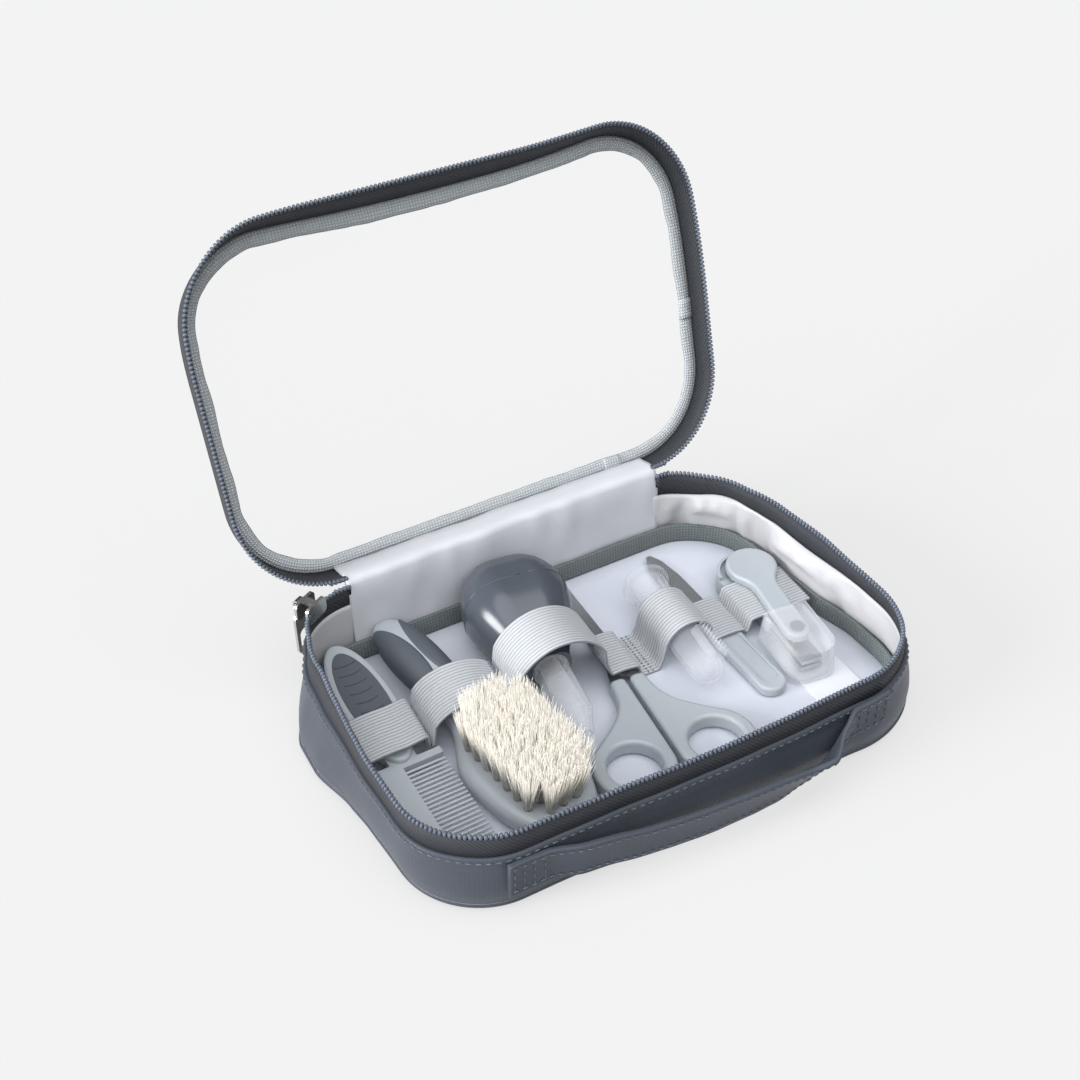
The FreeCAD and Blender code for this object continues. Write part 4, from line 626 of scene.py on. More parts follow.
def end_tree(tree, given, output, instances):
    """Realises the instances, shades them smooth and gives them their material."""
    real = add_node(tree, "GeometryNodeRealizeInstances", links={"Geometry": instances})
    smooth = add_node(tree, "GeometryNodeSetShadeSmooth", links={"Geometry": real})
    done = add_node(tree, "GeometryNodeSetMaterial", links={"Geometry": smooth, "Material": given["Material"]})
    tree.links.new(done.outputs["Geometry"], output.inputs["Geometry"])
    return tree


def beads_tree():
    """Small rounded beads along a path: zip teeth and stitches."""
    tree, given, output = new_tree("beads_along_a_path", (
        ("Pitch", "NodeSocketFloat"), ("Bead", "NodeSocketVector"), ("Material", "NodeSocketMaterial")))
    line = add_node(tree, "GeometryNodeMeshToCurve", links={"Mesh": given["Geometry"]})
    spots = add_node(tree, "GeometryNodeResampleCurve", links={"Curve": line, "Length": given["Pitch"]},
                     mode="LENGTH")
    bead = add_node(tree, "GeometryNodeMeshUVSphere", {"Segments": 8, "Rings": 4, "Radius": 0.5})
    along = add_node(tree, "GeometryNodeInputTangent")
    turn = add_node(tree, "FunctionNodeAlignRotationToVector", links={"Vector": along}, axis="X")
    row = add_node(tree, "GeometryNodeInstanceOnPoints", links={
        "Points": spots, "Instance": bead, "Rotation": turn, "Scale": given["Bead"]})
    return end_tree(tree, given, output, row)


STRAY = 0.09  # lean of a loose bristle away from its tuft
TIP_SHARE = 0.45  # of the bristle's radius at its root
UNEVEN = (0.86, 1.04)  # shortest and longest bristle


def tufts_tree():
    """A tuft of fanned filaments at each point, each tuft turned its own way."""
    tree, given, output = new_tree("bristle_tufts", (
        ("Root", "NodeSocketFloat"), ("Fan", "NodeSocketFloat"), ("Length", "NodeSocketFloat"),
        ("Filament", "NodeSocketFloat"), ("Density", "NodeSocketFloat"), ("Seed", "NodeSocketInt"),
        ("Material", "NodeSocketMaterial")))
    seed = {"Seed": given["Seed"]}
    foot = add_node(tree, "GeometryNodeMeshCircle", {"Vertices": 12}, {"Radius": given["Root"]}, fill_type="NGON")
    roots = add_node(tree, "GeometryNodeDistributePointsOnFaces", links={
        "Mesh": foot, "Density": given["Density"], **seed}, distribute_method="RANDOM")
    place = add_node(tree, "GeometryNodeInputPosition")
    place = add_node(tree, "ShaderNodeSeparateXYZ", links={0: place}).outputs
    lean_x, lean_y = (add_node(tree, "ShaderNodeMath", links={0: place[axis], 1: given["Fan"]},
                               operation="MULTIPLY") for axis in (0, 1))
    lean = add_node(tree, "ShaderNodeCombineXYZ", {2: 1.0}, {0: lean_x, 1: lean_y})
    stray = add_node(tree, "FunctionNodeRandomValue", {0: (-STRAY, -STRAY, 0), 1: (STRAY, STRAY, 0)}, seed,
                     data_type="FLOAT_VECTOR")
    heading = add_node(tree, "ShaderNodeVectorMath", links={0: lean, 1: stray}, operation="ADD")
    turn = add_node(tree, "FunctionNodeAlignRotationToVector", links={"Vector": heading}, axis="Z")
    thin = add_node(tree, "ShaderNodeMath", {1: TIP_SHARE}, {0: given["Filament"]}, operation="MULTIPLY")
    hair = add_node(tree, "GeometryNodeMeshCone", {"Vertices": 4}, {
        "Radius Top": thin, "Radius Bottom": given["Filament"], "Depth": given["Length"]}, fill_type="NGON")
    uneven = add_node(tree, "FunctionNodeRandomValue", {2: UNEVEN[0], 3: UNEVEN[1]}, seed)
    grow = add_node(tree, "ShaderNodeCombineXYZ", {0: 1.0, 1: 1.0}, {2: uneven.outputs[1]})
    tuft = add_node(tree, "GeometryNodeInstanceOnPoints", links={
        "Points": roots, "Instance": hair, "Rotation": turn, "Scale": grow})
    whole = add_node(tree, "GeometryNodeRealizeInstances", links={"Geometry": tuft})
    spin = add_node(tree, "FunctionNodeRandomValue", {0: (0, 0, 0), 1: (0, 0, 2 * math.pi)}, seed,
                    data_type="FLOAT_VECTOR")
    heading = add_node(tree, "GeometryNodeInputNamedAttribute", {"Name": "heading"}, data_type="FLOAT_VECTOR")
    stand = add_node(tree, "FunctionNodeAlignRotationToVector", links={
        "Rotation": spin, "Vector": heading.outputs["Attribute"]}, axis="Z")
    rows = add_node(tree, "GeometryNodeInstanceOnPoints", links={
        "Points": given["Geometry"], "Instance": whole, "Rotation": stand})
    return end_tree(tree, given, output, rows)


def tree_of(name, build):
    return bpy.data.node_groups.get(name) or build()


def grown(name, mesh, tree, values):
    """Runs a tree on a mesh and keeps the result as a plain mesh."""
    seedling = link_mesh(name + "_path", mesh)
    modifier = seedling.modifiers.new("grow", "NODES")
    modifier.node_group = tree
    for item in tree.interface.items_tree:
        if item.in_out == "INPUT" and item.name in values:
            modifier[item.identifier] = values[item.name]
    depsgraph = bpy.context.evaluated_depsgraph_get()
    result = bpy.data.meshes.new_from_object(seedling.evaluated_get(depsgraph), depsgraph=depsgraph)
    seedling.modifiers.remove(modifier)
    bpy.data.objects.remove(seedling)
    if not result.polygons:
        raise RuntimeError(name + " came out empty")
    result.name = name
    return link_mesh(name, result)


def polyline(name, lines):
    """A mesh of edges along one or more rows of points."""
    points = []
    edges = []
    for row in lines:
        first = len(points)
        points.extend(row)
        edges.extend((k, k + 1) for k in range(first, len(points) - 1))
    mesh = bpy.data.meshes.new(name)
    mesh.from_pydata(points, edges, [])
    return mesh


def beads(name, lines, pitch, bead, look):
    return grown(name, polyline(name, lines), tree_of("beads_along_a_path", beads_tree), {
        "Pitch": pitch, "Bead": bead, "Material": finish(look)})


def stitches(name, lines):
    """Rows of stitches along rows of points, a little wider than their thread."""
    kit = sizes()
    wide = 2.4 * kit.thread
    return beads(name, lines, kit.stitch_pitch, (kit.stitch, wide, wide), "sewing_thread")


# Pieces

class KIT_OT_case_walls(bpy.types.Operator):
    """The coated nylon tray, its bottom piping and the seam under the zip tape"""
    bl_idname = "kit.case_walls"
    bl_label = "Case walls"

    def execute(self, context):
        kit = sizes()
        path = around(HALF_X, HALF_Y, kit.rim_corner)
        top = WALL_TOP / MM
        tray = ring("case_tray", path, mms(
            (-14, 0), (-8, 0), (-5.4, 0.5), (-3.2, 1.8), (-1.5, 4), (-0.4, 7), (0.5, 11), (0.8, 16), (0.6, 22),
            (0.3, top - 3.2), (0.8, top - 2.6), (0.8, top - 0.4), (0.3, top), (-0.6, top), (-0.9, top - 1),
            (-0.9, 9), (-1.5, 4.6), (-5, 1.1), (-14, 1.0)), close_profile=False, caps=True)
        dress(tray, "case_base", "coated_nylon", "coated_nylon", "outer_shell")
        piping = ring("bottom_piping", path, tube_profile(kit.piping, -2.0 * MM, 3.4 * MM))
        dress(piping, "case_base", "coated_nylon", "coated_nylon")
        seam = [settle(spot + out * 1.0 * MM + Vector((0, 0, WALL_TOP - 1.5 * MM))) for spot, out in path]
        dress(stitches("wall_seam_stitches", [seam]), "case_base", "coated_nylon", None)
        return {"FINISHED"}


SATIN_SEAT = 1.9 * MM
SATIN_SEAT_COVERED = 0.4 * MM  # behind the cloth of the hinge
SATIN_THICK = 0.6 * MM
SATIN_STEPS = 12


def wrinkle(spot, often, third):
    """Noise round the case, with so many wrinkles to the metre and a third coordinate."""
    return noise.noise(Vector((spot.x * often, spot.y * often, third)))


class KIT_OT_lining(bpy.types.Operator):
    """The lined floor, the binding round it, the satin wall lining and the blank card"""
    bl_idname = "kit.lining"
    bl_label = "Lining"

    def execute(self, context):
        kit = sizes()
        floor_path = around(BINDING_HALF.x, BINDING_HALF.y, kit.rim_corner - 5 * MM)
        board = ring("lined_floor", floor_path, mms((-9, 3.0), (-1, 3.0), (0, 2.6), (0, 1.3), (-9, 1.25)),
                     close_profile=False, caps=True)
        dress(board, "case_base", "satin_lining", "satin_lining", "floor_board")
        tape = ring("floor_seam_binding", floor_path, mms(
            (-2.1, 3.05), (-2.4, 5), (-1.9, 8), (-1.2, 11.2), (-0.5, 12), (0.3, 11.4), (0.1, 8), (0, 3.05)))
        dress(tape, "case_base", "woven_binding", "floor_binding", "floor_binding")

        rows = []
        for spot, out in around(HALF_X, HALF_Y, kit.rim_corner, step=1.6 * MM):
            loose = ease(0.35, 0.9, spot.x / HALF_X) * ease(-0.9, 0.2, spot.y / HALF_Y)
            covered = spot.y > HALF_Y - MM and abs(spot.x) < HINGE_HALF - 3 * MM
            seat = SATIN_SEAT_COVERED if covered else SATIN_SEAT
            if covered:
                loose = 0.0
            inner = []
            outer = []
            for k in range(SATIN_STEPS + 1):
                rise = k / SATIN_STEPS
                droop = loose * (2.0 + 3.0 * wrinkle(spot, 35, 7))
                up = (4.4 + (WALL_TOP / MM - 3.6 - max(0.0, droop)) * rise) * MM
                fold = wrinkle(spot, 55, up * 30) + 0.5 * wrinkle(spot, 140, up * 60)
                belly = math.sin(math.pi * rise) * (0.3 + 3.2 * loose + 6.0 * loose * fold) * MM
                room = (1.8 + 5 * ease(17 * MM, 26 * MM, up)) * MM
                inner.append(settle(spot - out * (seat + min(room, max(0, belly))) + Vector((0, 0, up))))
                outer.append(settle(spot - out * (seat - SATIN_THICK) + Vector((0, 0, up))))
            rows.append(inner + outer[::-1])
        walls = skin("satin_walls", rows, close_rows=True)
        dress(walls, "case_base", "satin_lining", "wall_satin_shaded", "wall_lining")
        paint("card", "insert_card")
        return {"FINISHED"}


TAPE_GAP = 0.3 * MM  # between the hinge and the ends of the tape
COIL_START = 5 * MM  # from the end of the tape to the first tooth
TOOTH = (2.0 * MM, 2.2 * MM)  # across and up
TOOTH_SHARE = 0.97  # of the pitch


class KIT_OT_zip(bpy.types.Operator):
    """Both zip tapes, both rows of coil teeth, the slider and the pull tab"""
    bl_idname = "kit.zip"
    bl_label = "Zip"

    def execute(self, context):
        kit = sizes()
        corner = kit.rim_corner
        gap = HINGE_HALF + TAPE_GAP
        path = around(RIM_HALF_X, RIM_HALF_Y, corner, gap)
        low = WALL_TOP / MM
        tape = ring("base_tape", path, mms((0.35, low - 1.5), (0.45, low + 4), (0.4, 37.2), (-0.4, 37.2),
                                           (-0.5, low + 4), (-0.5, low - 1.5)), closed=False, caps=True)
        dress(tape, "case_base", "zip_tape", "zip_tape", "base_zip_tape")
        start = gap + COIL_START
        line = [settle(spot + Vector((0, 0, RIM))) for spot, out in around(RIM_HALF_X, RIM_HALF_Y, corner, start)]
        bead = (TOOTH_SHARE * kit.coil_pitch, *TOOTH)
        teeth = beads("base_coil", [line], kit.coil_pitch, bead, "zip_coil")
        dress(teeth, "case_base", "zip_coil", None, "base_zip_teeth")

        swing, hinge = lid_swing()
        level = hinge.z + 0.9 * MM
        rows = []
        for spot, out in lid_line(0.5 * MM, gap + 4 * MM):
            far = lid_slump(spot)
            flap = 0.5 * MM * noise.noise(spot * 50)
            wall = ((0.4, 0.2, 0), (0.5 + flap / MM, 5, 0.4), (0.2, 11.6, 1), (-0.6, 11.6, 1),
                    (-0.3 + flap / MM, 5, 0.4), (-0.4, 0.2, 0))
            rows.append([spot + out * (reach * MM - part * far) + Vector((0, 0, level + up * MM))
                         for reach, up, part in wall])
        lid_tape = skin("lid_tape", rows, caps=True)
        lid_tape.data.transform(swing)
        dress(lid_tape, "lid", "zip_tape", "zip_tape", "lid_zip_tape")
        line = [spot + Vector((0, 0, level)) for spot, out in lid_line(0.0, start)]
        lid_teeth = beads("lid_coil", [line], kit.coil_pitch, bead, "zip_coil")
        lid_teeth.data.transform(swing)
        dress(lid_teeth, "lid", "zip_coil", None, "lid_zip_teeth")
        paint("nickel", "zip_slider", "zip_pull_tab")
        return {"FINISHED"}


LID_DEPTH = 12.4 * MM
FILM_RINGS = 8
FILM_REACH = 0.93  # of the way from the edge to the middle


class KIT_OT_lid(bpy.types.Operator):
    """The clear window, the binding round it and the cloth hinge"""
    bl_idname = "kit.lid"
    bl_label = "Lid"

    def execute(self, context):
        kit = sizes()
        swing, hinge = lid_swing()
        level = hinge.z + LID_DEPTH
        path = lid_edge(1.0 * MM, 1.6 * MM)

        def band(name, spots, lift, closed):
            """A woven tape folded over the edge of the window, with a wavy inner edge."""
            rows = []
            for spot, out in spots:
                wave = 0.7 * noise.noise(spot * 60) + 0.3 * noise.noise(spot * 160)
                profile = ((0.1, 0.5), (0.1, -0.6 - lift), (-2.4, -1.0 - lift), (-4.8 + wave, -0.8 - lift),
                           (-5.6 + wave, 0.0), (-4.8 + wave, 0.35))
                rows.append([spot + out * far * MM + Vector((0, 0, level + up * MM)) for far, up in profile])
            tape = skin(name, rows, close_rows=closed, caps=not closed)
            tape.data.transform(swing)
            return tape

        dress(band("window_binding", path, 0.0, True), "lid", "woven_binding", "lid_binding", "lid_binding")
        # The tape's ends lap: one lap on the right, one by the hinge
        for name, near in (("binding_lap_side", (0.104, 0.012)), ("binding_lap_rear", (0.057, 0.069))):
            spots = sorted(path, key=lambda pair: (pair[0].x - near[0]) ** 2 + (pair[0].y - near[1]) ** 2)[:6]
            spots = [pair for pair in path if pair in spots]
            dress(band(name, spots, 0.5, False), "lid", "woven_binding", "lid_binding")

        rows = []
        for k in range(FILM_RINGS + 1):
            part = 1 - FILM_REACH * k / FILM_RINGS
            bow = kit.film_bow * (1 - part * part)
            rows.append([Vector((spot.x * part, spot.y * part, level + 0.5 * MM + bow)) for spot, out in path])
        film = skin("window_film", rows)
        fill = bmesh.new()
        fill.from_mesh(film.data)
        bmesh.ops.holes_fill(fill, edges=[e for e in fill.edges if e.is_boundary and
                                          all(abs(v.co.x) < 0.02 for v in e.verts)], sides=0)
        fill.to_mesh(film.data)
        fill.free()
        film.data.transform(swing)
        dress(film, "lid", "clear_film", "clear_film", "lid_window")

        def lid_spot(down, up):
            point = swing @ Vector((0, RIM_HALF_Y - down * MM, hinge.z + up * MM))
            return point.y / MM, point.z / MM

        inside = [(66.9, 7), (66.9, 12), (67.1, 18), (67.4, 24), (67.7, 30), (68.3, 34.5), (69.2, 37.8),
                  (70.1, 39.7), lid_spot(1.0, 2.2), lid_spot(1.9, 5), lid_spot(2.0, 8.5), lid_spot(2.4, 12.2)]
        outside = [lid_spot(0.8, 12.9), lid_spot(0.5, 8.5), lid_spot(0.2, 4), (71.4, 40.3), (70.9, 37.5),
                   (70.6, 33), (69.2, 29)]
        rows = []
        steps = 90
        for k in range(steps + 1):
            x = -HINGE_HALF + 2 * HINGE_HALF * k / steps
            row = []
            for y, z in inside:
                broad = noise.noise(Vector((x * 45, z * 0.02, 3)))
                fine = noise.noise(Vector((x * 130, z * 0.06, 5)))
                crease = 0.9 * broad + 0.5 * fine
                row.append(Vector((x, (y - 0.9 + min(0.4, crease)) * MM, z * MM)))
            row.extend(Vector((x, y * MM, z * MM)) for y, z in outside)
            rows.append(row)
        cloth = skin("hinge_cloth", rows, caps=True)
        cloth.data.materials.append(finish("hinge_lining"))
        cloth.data.materials.append(finish("coated_nylon"))
        last = len(inside) - 1
        wide = len(inside) + len(outside)
        for number, face in enumerate(cloth.data.polygons):
            face.material_index = 1 if last <= number % wide else 0
        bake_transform(cloth)
        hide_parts("hinge_strip", "lid_hinge_flap")
        return {"FINISHED"}


HANDLE_RUN = (
    # mm along the front wall, height of the strap's middle, distance from the wall, degrees it turns its face up
    (-78, 19.6, 0.0, 0), (-62, 19.2, 0.0, 0), (-50, 18.0, 2.6, 3), (-25, 16.0, 5.4, 6), (0, 14.6, 6.3, 8),
    (25, 13.6, 6.0, 14), (38, 13.6, 5.4, 26), (47, 15.4, 6.0, 34), (55, 19.6, 2.0, 14), (62, 22.4, 0.2, 0),
    (78, 24.0, 0.0, 0))


class KIT_OT_handle(bpy.types.Operator):
    """The carrying strap on the front wall, with its stitched edges and ends"""
    bl_idname = "kit.handle"
    bl_label = "Carrying strap"

    def execute(self, context):
        kit = sizes()
        far = corner_of("handle_strap", 1).x
        half = kit.strap_width / 2

        def spot(x, out, across):
            """A point of the strap: across its width from -1 to 1, and out from its back."""
            level, bow, turn = along_table(HANDLE_RUN, x / MM)
            wall = settle(Vector((x, -HALF_Y, level * MM)))
            face = Matrix.Rotation(math.radians(turn), 3, "X")
            pucker = 0.35 * MM * noise.noise(Vector((x * 90, across * 2, 1)))
            return wall + Vector((0, (-0.5 - bow) * MM, 0)) + face @ Vector((0, -out - pucker, across * half))

        steps = 120
        ends = ((0, -0.96), (0.3, -1), (1.8, -1), (2.2, -0.93), (1.9, -0.75), (1.7, 0), (1.9, 0.75), (2.2, 0.93),
                (1.8, 1), (0.3, 1), (0, 0.96), (0, 0))
        places = [-far + 2 * far * k / steps for k in range(steps + 1)]
        rows = [[spot(x, out * MM, across) for out, across in ends] for x in places]
        strap = skin("carrying_strap", rows, caps=True)
        dress(strap, "case_base", "coated_nylon", "coated_nylon", "handle_strap")

        lines = [[spot(x, 2.2 * MM, edge) for x in places[2:-2]] for edge in (-0.74, 0.74)]
        for side in (-1, 1):
            for back in (2, 6, 10, 14):
                x = side * (far - back * MM)
                lines.append([spot(x, 2.0 * MM, part) for part in (-0.74, -0.37, 0, 0.37, 0.74)])
        dress(stitches("carrying_strap_stitches", lines), "case_base", "coated_nylon", None)
        return {"FINISHED"}


COMB_SHIFT = 4.5 * MM  # how far forward the strap lies over the comb
LEVER_ROOM = 0.5 * MM
SPINE_DEPTH = 1.0 * MM  # from the top of the solid loops down to the strap's spine
FACE, BACK = 0.75 * MM, 0.1 * MM  # the strap's two sides, above its spine


class KIT_OT_elastic(bpy.types.Operator):
    """The ribbed elastic over the tools, sewn down between them"""
    bl_idname = "kit.elastic"
    bl_label = "Elastic strap"

    def execute(self, context):
        kit = sizes()
        names = ("comb_loop", "brush_loop", "aspirator_loop", "scissors_loop", "finger_brush_loop", "file_loop",
                 "clipper_loop")
        loops = bmesh.new()
        for name in names:
            loops.from_mesh(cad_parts[name].data)
        tree = BVHTree.FromBMesh(loops)
        turn = Matrix.Translation((0, kit.elastic_middle, 0)) @ Matrix.Rotation(kit.elastic_slant, 4, "Z")
        reach = corner_of("clipper_loop", 1).x - 0.8 * MM
        lever_low = corner_of("clipper_lever", 0).z
        clipper_low = corner_of("clipper_loop", 0).x
        step = 0.5 * MM
        steps = int(2 * reach / step)
        tops = []
        for k in range(steps + 1):
            spot = turn @ Vector((-reach + k * step, 0, 0.1))
            hit = tree.ray_cast(spot, Vector((0, 0, -1)))[0]
            top = hit.z if hit else FLOOR_TOP + 1.1 * MM
            # It runs under the clipper's lever
            tops.append(min(top, lever_low - LEVER_ROOM) if spot.x > clipper_low else top)
        loops.free()
        soft = []
        window = 5
        for k in range(steps + 1):
            near = tops[max(0, k - window):k + window + 1]
            soft.append(max(tops[k], sum(near) / len(near)))
        spine = [Vector((-reach + k * step, 0, soft[k] - SPINE_DEPTH)) for k in range(0, steps + 1, 2)]
        columns = kit.rib_count * 4
        half = kit.elastic_width / 2
        rows = []
        for k, here in enumerate(spine):
            ahead = spine[min(k + 1, len(spine) - 1)] - spine[max(k - 1, 0)]
            up = Vector((-ahead.z, 0, ahead.x)).normalized()
            here = here - Vector((0, COMB_SHIFT * ease(60 * MM, 80 * MM, -here.x), 0))
            row = []
            for j in range(columns + 1):
                crest = abs(math.sin(math.pi * kit.rib_count * j / columns))
                v = -half + 2 * half * j / columns
                row.append(turn @ (here + up * (FACE + kit.rib * crest) + Vector((0, v, 0))))
            for j in (columns, 0):
                v = -half + 2 * half * j / columns
                row.append(turn @ (here + up * BACK + Vector((0, v, 0))))
            rows.append(row)
        widths = [2 * half * j / columns for j in range(columns + 1)]
        strap = skin("elastic_strap", rows, caps=True, across=widths + [2 * half, 0.0, 0.0])
        dress(strap, "case_base", "ribbed_elastic", "ribbed_elastic", *names)

        lines = []
        for before, after in zip(names, names[1:]):
            seam = (corner_of(before, 1).x + corner_of(after, 0).x) / 2
            for shift in (-1.5 * MM, 0.7 * MM):
                k = min(range(len(spine)), key=lambda i: abs(spine[i].x - seam - shift))
                lines.append([turn @ (spine[k] + Vector((0, v * half, 1.3 * MM))) for v in (-0.95, 0, 0.95)])
        sewn = beads("elastic_stitches", lines, 1.7 * MM, (1.2 * MM, 0.5 * MM, 0.4 * MM), "sewing_thread")
        dress(sewn, "case_base", "ribbed_elastic", None)
        return {"FINISHED"}


TUFT_FOOT = 1.55 * MM
TUFT_FAN = 85.0  # lean of a bristle for each metre from its tuft's middle
TUFT_LIFT = 2.9 * MM
TUFT_TRIM = 5 * MM
TUFT_SEED = 7


class KIT_OT_hair_brush(bpy.types.Operator):
    """The hair brush: moulded body, soft grips and fanned bristles"""
    bl_idname = "kit.hair_brush"
    bl_label = "Hair brush"

    def execute(self, context):
        kit = sizes()
        paint("plastic", "brush_body")
        paint("grip", "brush_grips")
        tufts = bmesh.new()
        tufts.from_mesh(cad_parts["brush_tufts"].data)
        bmesh.ops.remove_doubles(tufts, verts=tufts.verts, dist=1e-6)
        roots = []
        tips = []
        seen = set()
        for vert in tufts.verts:
            if vert in seen:
                continue
            island = [vert]
            seen.add(vert)
            for member in island:
                for edge in member.link_edges:
                    other = edge.other_vert(member)
                    if other not in seen:
                        seen.add(other)
                        island.append(other)
            heights = [member.co.z for member in island]
            for ends, level in ((roots, min(heights)), (tips, max(heights))):
                spots = [member.co for member in island if abs(member.co.z - level) < 0.9 * MM]
                ends.append(sum(spots, Vector()) / len(spots))
        tufts.free()
        middle = sum(roots, Vector()) / len(roots)
        axis = (tips[0] - roots[0]).normalized()
        long = (tips[0] - roots[0]).length - TUFT_TRIM
        mesh = bpy.data.meshes.new("tuft_feet")
        mesh.from_pydata([root + axis * TUFT_LIFT for root in roots], [], [])
        heading = mesh.attributes.new("heading", "FLOAT_VECTOR", "POINT")
        for item, root in zip(heading.data, roots):
            item.vector = axis + (root - middle) * kit.splay
        bristles = grown("brush_bristles", mesh, tree_of("bristle_tufts", tufts_tree), {
            "Root": TUFT_FOOT, "Fan": TUFT_FAN, "Length": long, "Filament": kit.filament,
            "Density": kit.filaments / (math.pi * TUFT_FOOT ** 2), "Seed": TUFT_SEED,
            "Material": finish("bristle")})
        dress(bristles, "brush", "bristle", None, "brush_tufts")
        return {"FINISHED"}


def seam_ring(name, node, middle, axis, thick):
    """A thin moulding seam where a plane cuts the outside of a node."""
    cut = bmesh.new()
    cut.from_mesh(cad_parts[node].data)
    made = bmesh.ops.bisect_plane(cut, geom=cut.verts[:] + cut.edges[:] + cut.faces[:], plane_co=middle,
                                  plane_no=axis)
    spots = [item.co.copy() for item in made["geom_cut"] if isinstance(item, bmesh.types.BMVert)]
    cut.free()
    hub = sum(spots, Vector()) / len(spots)
    side = axis.orthogonal().normalized()
    other = axis.cross(side)
    farthest = {}
    for spot in spots:
        away = spot - hub
        sector = round(math.degrees(math.atan2(away.dot(other), away.dot(side))) / 6)
        if sector not in farthest or away.length > farthest[sector].length:
            farthest[sector] = away
    rows = []
    for sector in sorted(farthest):
        away = farthest[sector]
        out = away.normalized()
        rows.append([hub + away + thick * (out * math.cos(k * math.pi / 3) + axis * math.sin(k * math.pi / 3))
                     for k in range(6)])
    return skin(name, rows, close_rows=True)


BULB_SEAM = 0.3 * MM
BULB_SEAM_BACK = 7 * MM  # behind the bulb's middle


class KIT_OT_hand_tools(bpy.types.Operator):
    """The comb, aspirator, scissors, finger brush, nail file and clipper"""
    bl_idname = "kit.hand_tools"
    bl_label = "Hand tools"

    def execute(self, context):
        paint("plastic", "comb_body", "scissors_lower_handle", "scissors_upper_handle", "file_handle",
              "clipper_body", "clipper_lever")
        paint("grip", "comb_grip")
        paint("rubber", "aspirator_bulb")
        paint("clear_plastic", "aspirator_nozzle", "clipper_guard")
        paint("silicone", "finger_brush_sleeve", "finger_brush_bristles")
        paint("steel", "scissors_lower_blade", "scissors_upper_blade", "scissors_rivet", "clipper_lower_arm",
              "clipper_upper_arm", "clipper_post")
        paint("file_steel", "file_blade")
        low, high = (corner_of("aspirator_bulb", end) for end in (0, 1))
        tip = (corner_of("aspirator_nozzle", 0) + corner_of("aspirator_nozzle", 1)) / 2
        bulb = (low + high) / 2
        axis = (tip - bulb).normalized()
        seam = seam_ring("bulb_seam", "aspirator_bulb", bulb - axis * BULB_SEAM_BACK, axis, BULB_SEAM)
        dress(seam, "aspirator", "bulb_rubber", "rubber")
        return {"FINISHED"}


PAPER_REACH = 6.0
LAMPS = (
    # name, direction to the light, strength, degrees across
    ("left_window", (-0.95, 0.05, 0.3), 4.2, 30), ("overhead", (-0.15, -0.35, 0.92), 3.2, 80))
SENSOR = 36
LENS = 49.72
EYE = (-0.21828, -0.33197, 0.41233)
EYE_AXES = ((0.8648, -0.5021, 0.0), (0.3217, 0.5541, 0.7678), (-0.3855, -0.6640, 0.6406))


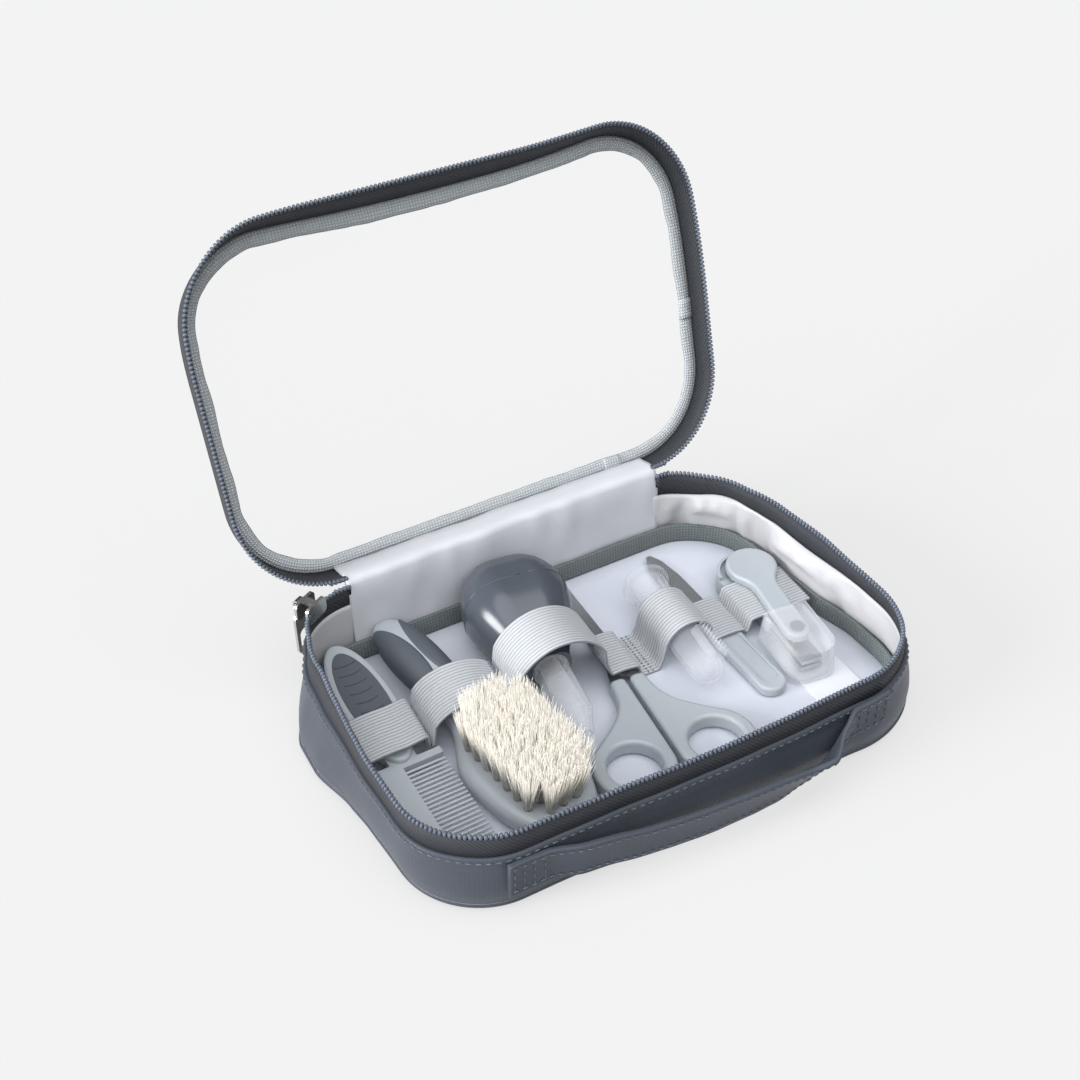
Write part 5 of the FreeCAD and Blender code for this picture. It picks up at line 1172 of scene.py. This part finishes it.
class KIT_OT_stage(bpy.types.Operator):
    """The pale floor, the soft light and the camera"""
    bl_idname = "kit.stage"
    bl_label = "Stage"

    def execute(self, context):
        scene = context.scene
        scene.view_settings.view_transform = "Standard"
        under = -0.3 * MM
        mesh = bpy.data.meshes.new("backdrop")
        signs = ((-1, -1), (1, -1), (1, 1), (-1, 1))
        mesh.from_pydata([(x * PAPER_REACH, y * PAPER_REACH, under) for x, y in signs], [], [(0, 1, 2, 3)])
        floor = link_mesh("backdrop", mesh)
        material = bpy.data.materials.new("paper_backdrop")
        material.use_nodes = True
        tree = material.node_tree
        # Seen by the camera, in metal and through clear plastic, the paper is as pale as it is written
        rays = add_node(tree, "ShaderNodeLightPath").outputs
        seen = rays["Is Camera Ray"]
        for kind in ("Is Glossy Ray", "Is Transmission Ray"):
            seen = add_node(tree, "ShaderNodeMath", links={0: seen, 1: rays[kind]}, operation="MAXIMUM")
        shader = tree.nodes["Principled BSDF"]
        shader.inputs["Base Color"].default_value = linear("#8c8c8c")
        shader.inputs["Roughness"].default_value = 1.0
        glow = add_node(tree, "ShaderNodeEmission", {"Color": tuple(tint("floor")), "Strength": 0.7})
        paper = add_node(tree, "ShaderNodeBsdfDiffuse", {"Color": shade(tint("floor"), 0.2)})
        lit = add_node(tree, "ShaderNodeAddShader", links={0: glow, 1: paper})
        mix = add_node(tree, "ShaderNodeMixShader", links={0: seen, 1: shader, 2: lit})
        tree.links.new(mix.outputs[0], tree.nodes["Material Output"].inputs["Surface"])
        mesh.materials.append(material)

        world = bpy.data.worlds.new("studio")
        scene.world = world
        world.use_nodes = True
        tree = world.node_tree
        sky = tree.nodes["Background"]
        sky.inputs["Color"].default_value = linear("#e6eaf2")
        sky.inputs["Strength"].default_value = 0.25
        # Past the paper's edge the camera sees the same pale grey
        pale = add_node(tree, "ShaderNodeBackground", {"Color": tuple(tint("floor")), "Strength": 1.0})
        sight = add_node(tree, "ShaderNodeLightPath").outputs["Is Camera Ray"]
        both = add_node(tree, "ShaderNodeMixShader", links={0: sight, 1: sky, 2: pale})
        tree.links.new(both.outputs[0], tree.nodes["World Output"].inputs["Surface"])
        for name, direction, strength, spread in LAMPS:
            lamp = bpy.data.lights.new(name, "SUN")
            lamp.energy = strength
            lamp.angle = math.radians(spread)
            light = bpy.data.objects.new(name, lamp)
            light.rotation_euler = Vector(direction).to_track_quat("Z", "Y").to_euler()
            scene.collection.objects.link(light)

        lens = bpy.data.cameras.new("camera")
        lens.sensor_width = SENSOR
        lens.lens = LENS
        camera = bpy.data.objects.new("camera", lens)
        turn = Matrix([Vector(axis).normalized() for axis in EYE_AXES]).transposed().to_4x4()
        camera.matrix_world = Matrix.Translation(EYE) @ turn
        scene.collection.objects.link(camera)
        scene.camera = camera
        return {"FINISHED"}


class KIT_PT_panel(bpy.types.Panel):
    """Sizes, colours and pieces of the grooming kit"""
    bl_idname = "KIT_PT_panel"
    bl_label = "Grooming kit"
    bl_space_type = "VIEW_3D"
    bl_region_type = "UI"
    bl_category = "Grooming kit"

    def draw(self, context):
        for group in (context.scene.kit_sizes, context.scene.kit_colours):
            for name in group.bl_rna.properties.keys():
                if name not in ("rna_type", "name"):
                    self.layout.prop(group, name)
        for piece in PIECES:
            self.layout.operator(piece.bl_idname)


PIECES = (
    KIT_OT_case_walls, KIT_OT_lining, KIT_OT_zip, KIT_OT_lid, KIT_OT_handle, KIT_OT_elastic, KIT_OT_hair_brush,
    KIT_OT_hand_tools, KIT_OT_stage,
)
CLASSES = (KitSizes, KitColours) + PIECES + (KIT_PT_panel,)


def register():
    for item in CLASSES:
        bpy.utils.register_class(item)
    bpy.types.Scene.kit_sizes = bpy.props.PointerProperty(type=KitSizes)
    bpy.types.Scene.kit_colours = bpy.props.PointerProperty(type=KitColours)


def unregister():
    del bpy.types.Scene.kit_sizes
    del bpy.types.Scene.kit_colours
    for item in reversed(CLASSES):
        bpy.utils.unregister_class(item)


def main():
    register()
    for piece in PIECES:
        group, name = piece.bl_idname.split(".")
        getattr(getattr(bpy.ops, group), name)()


if __name__ == "__main__":
    main()
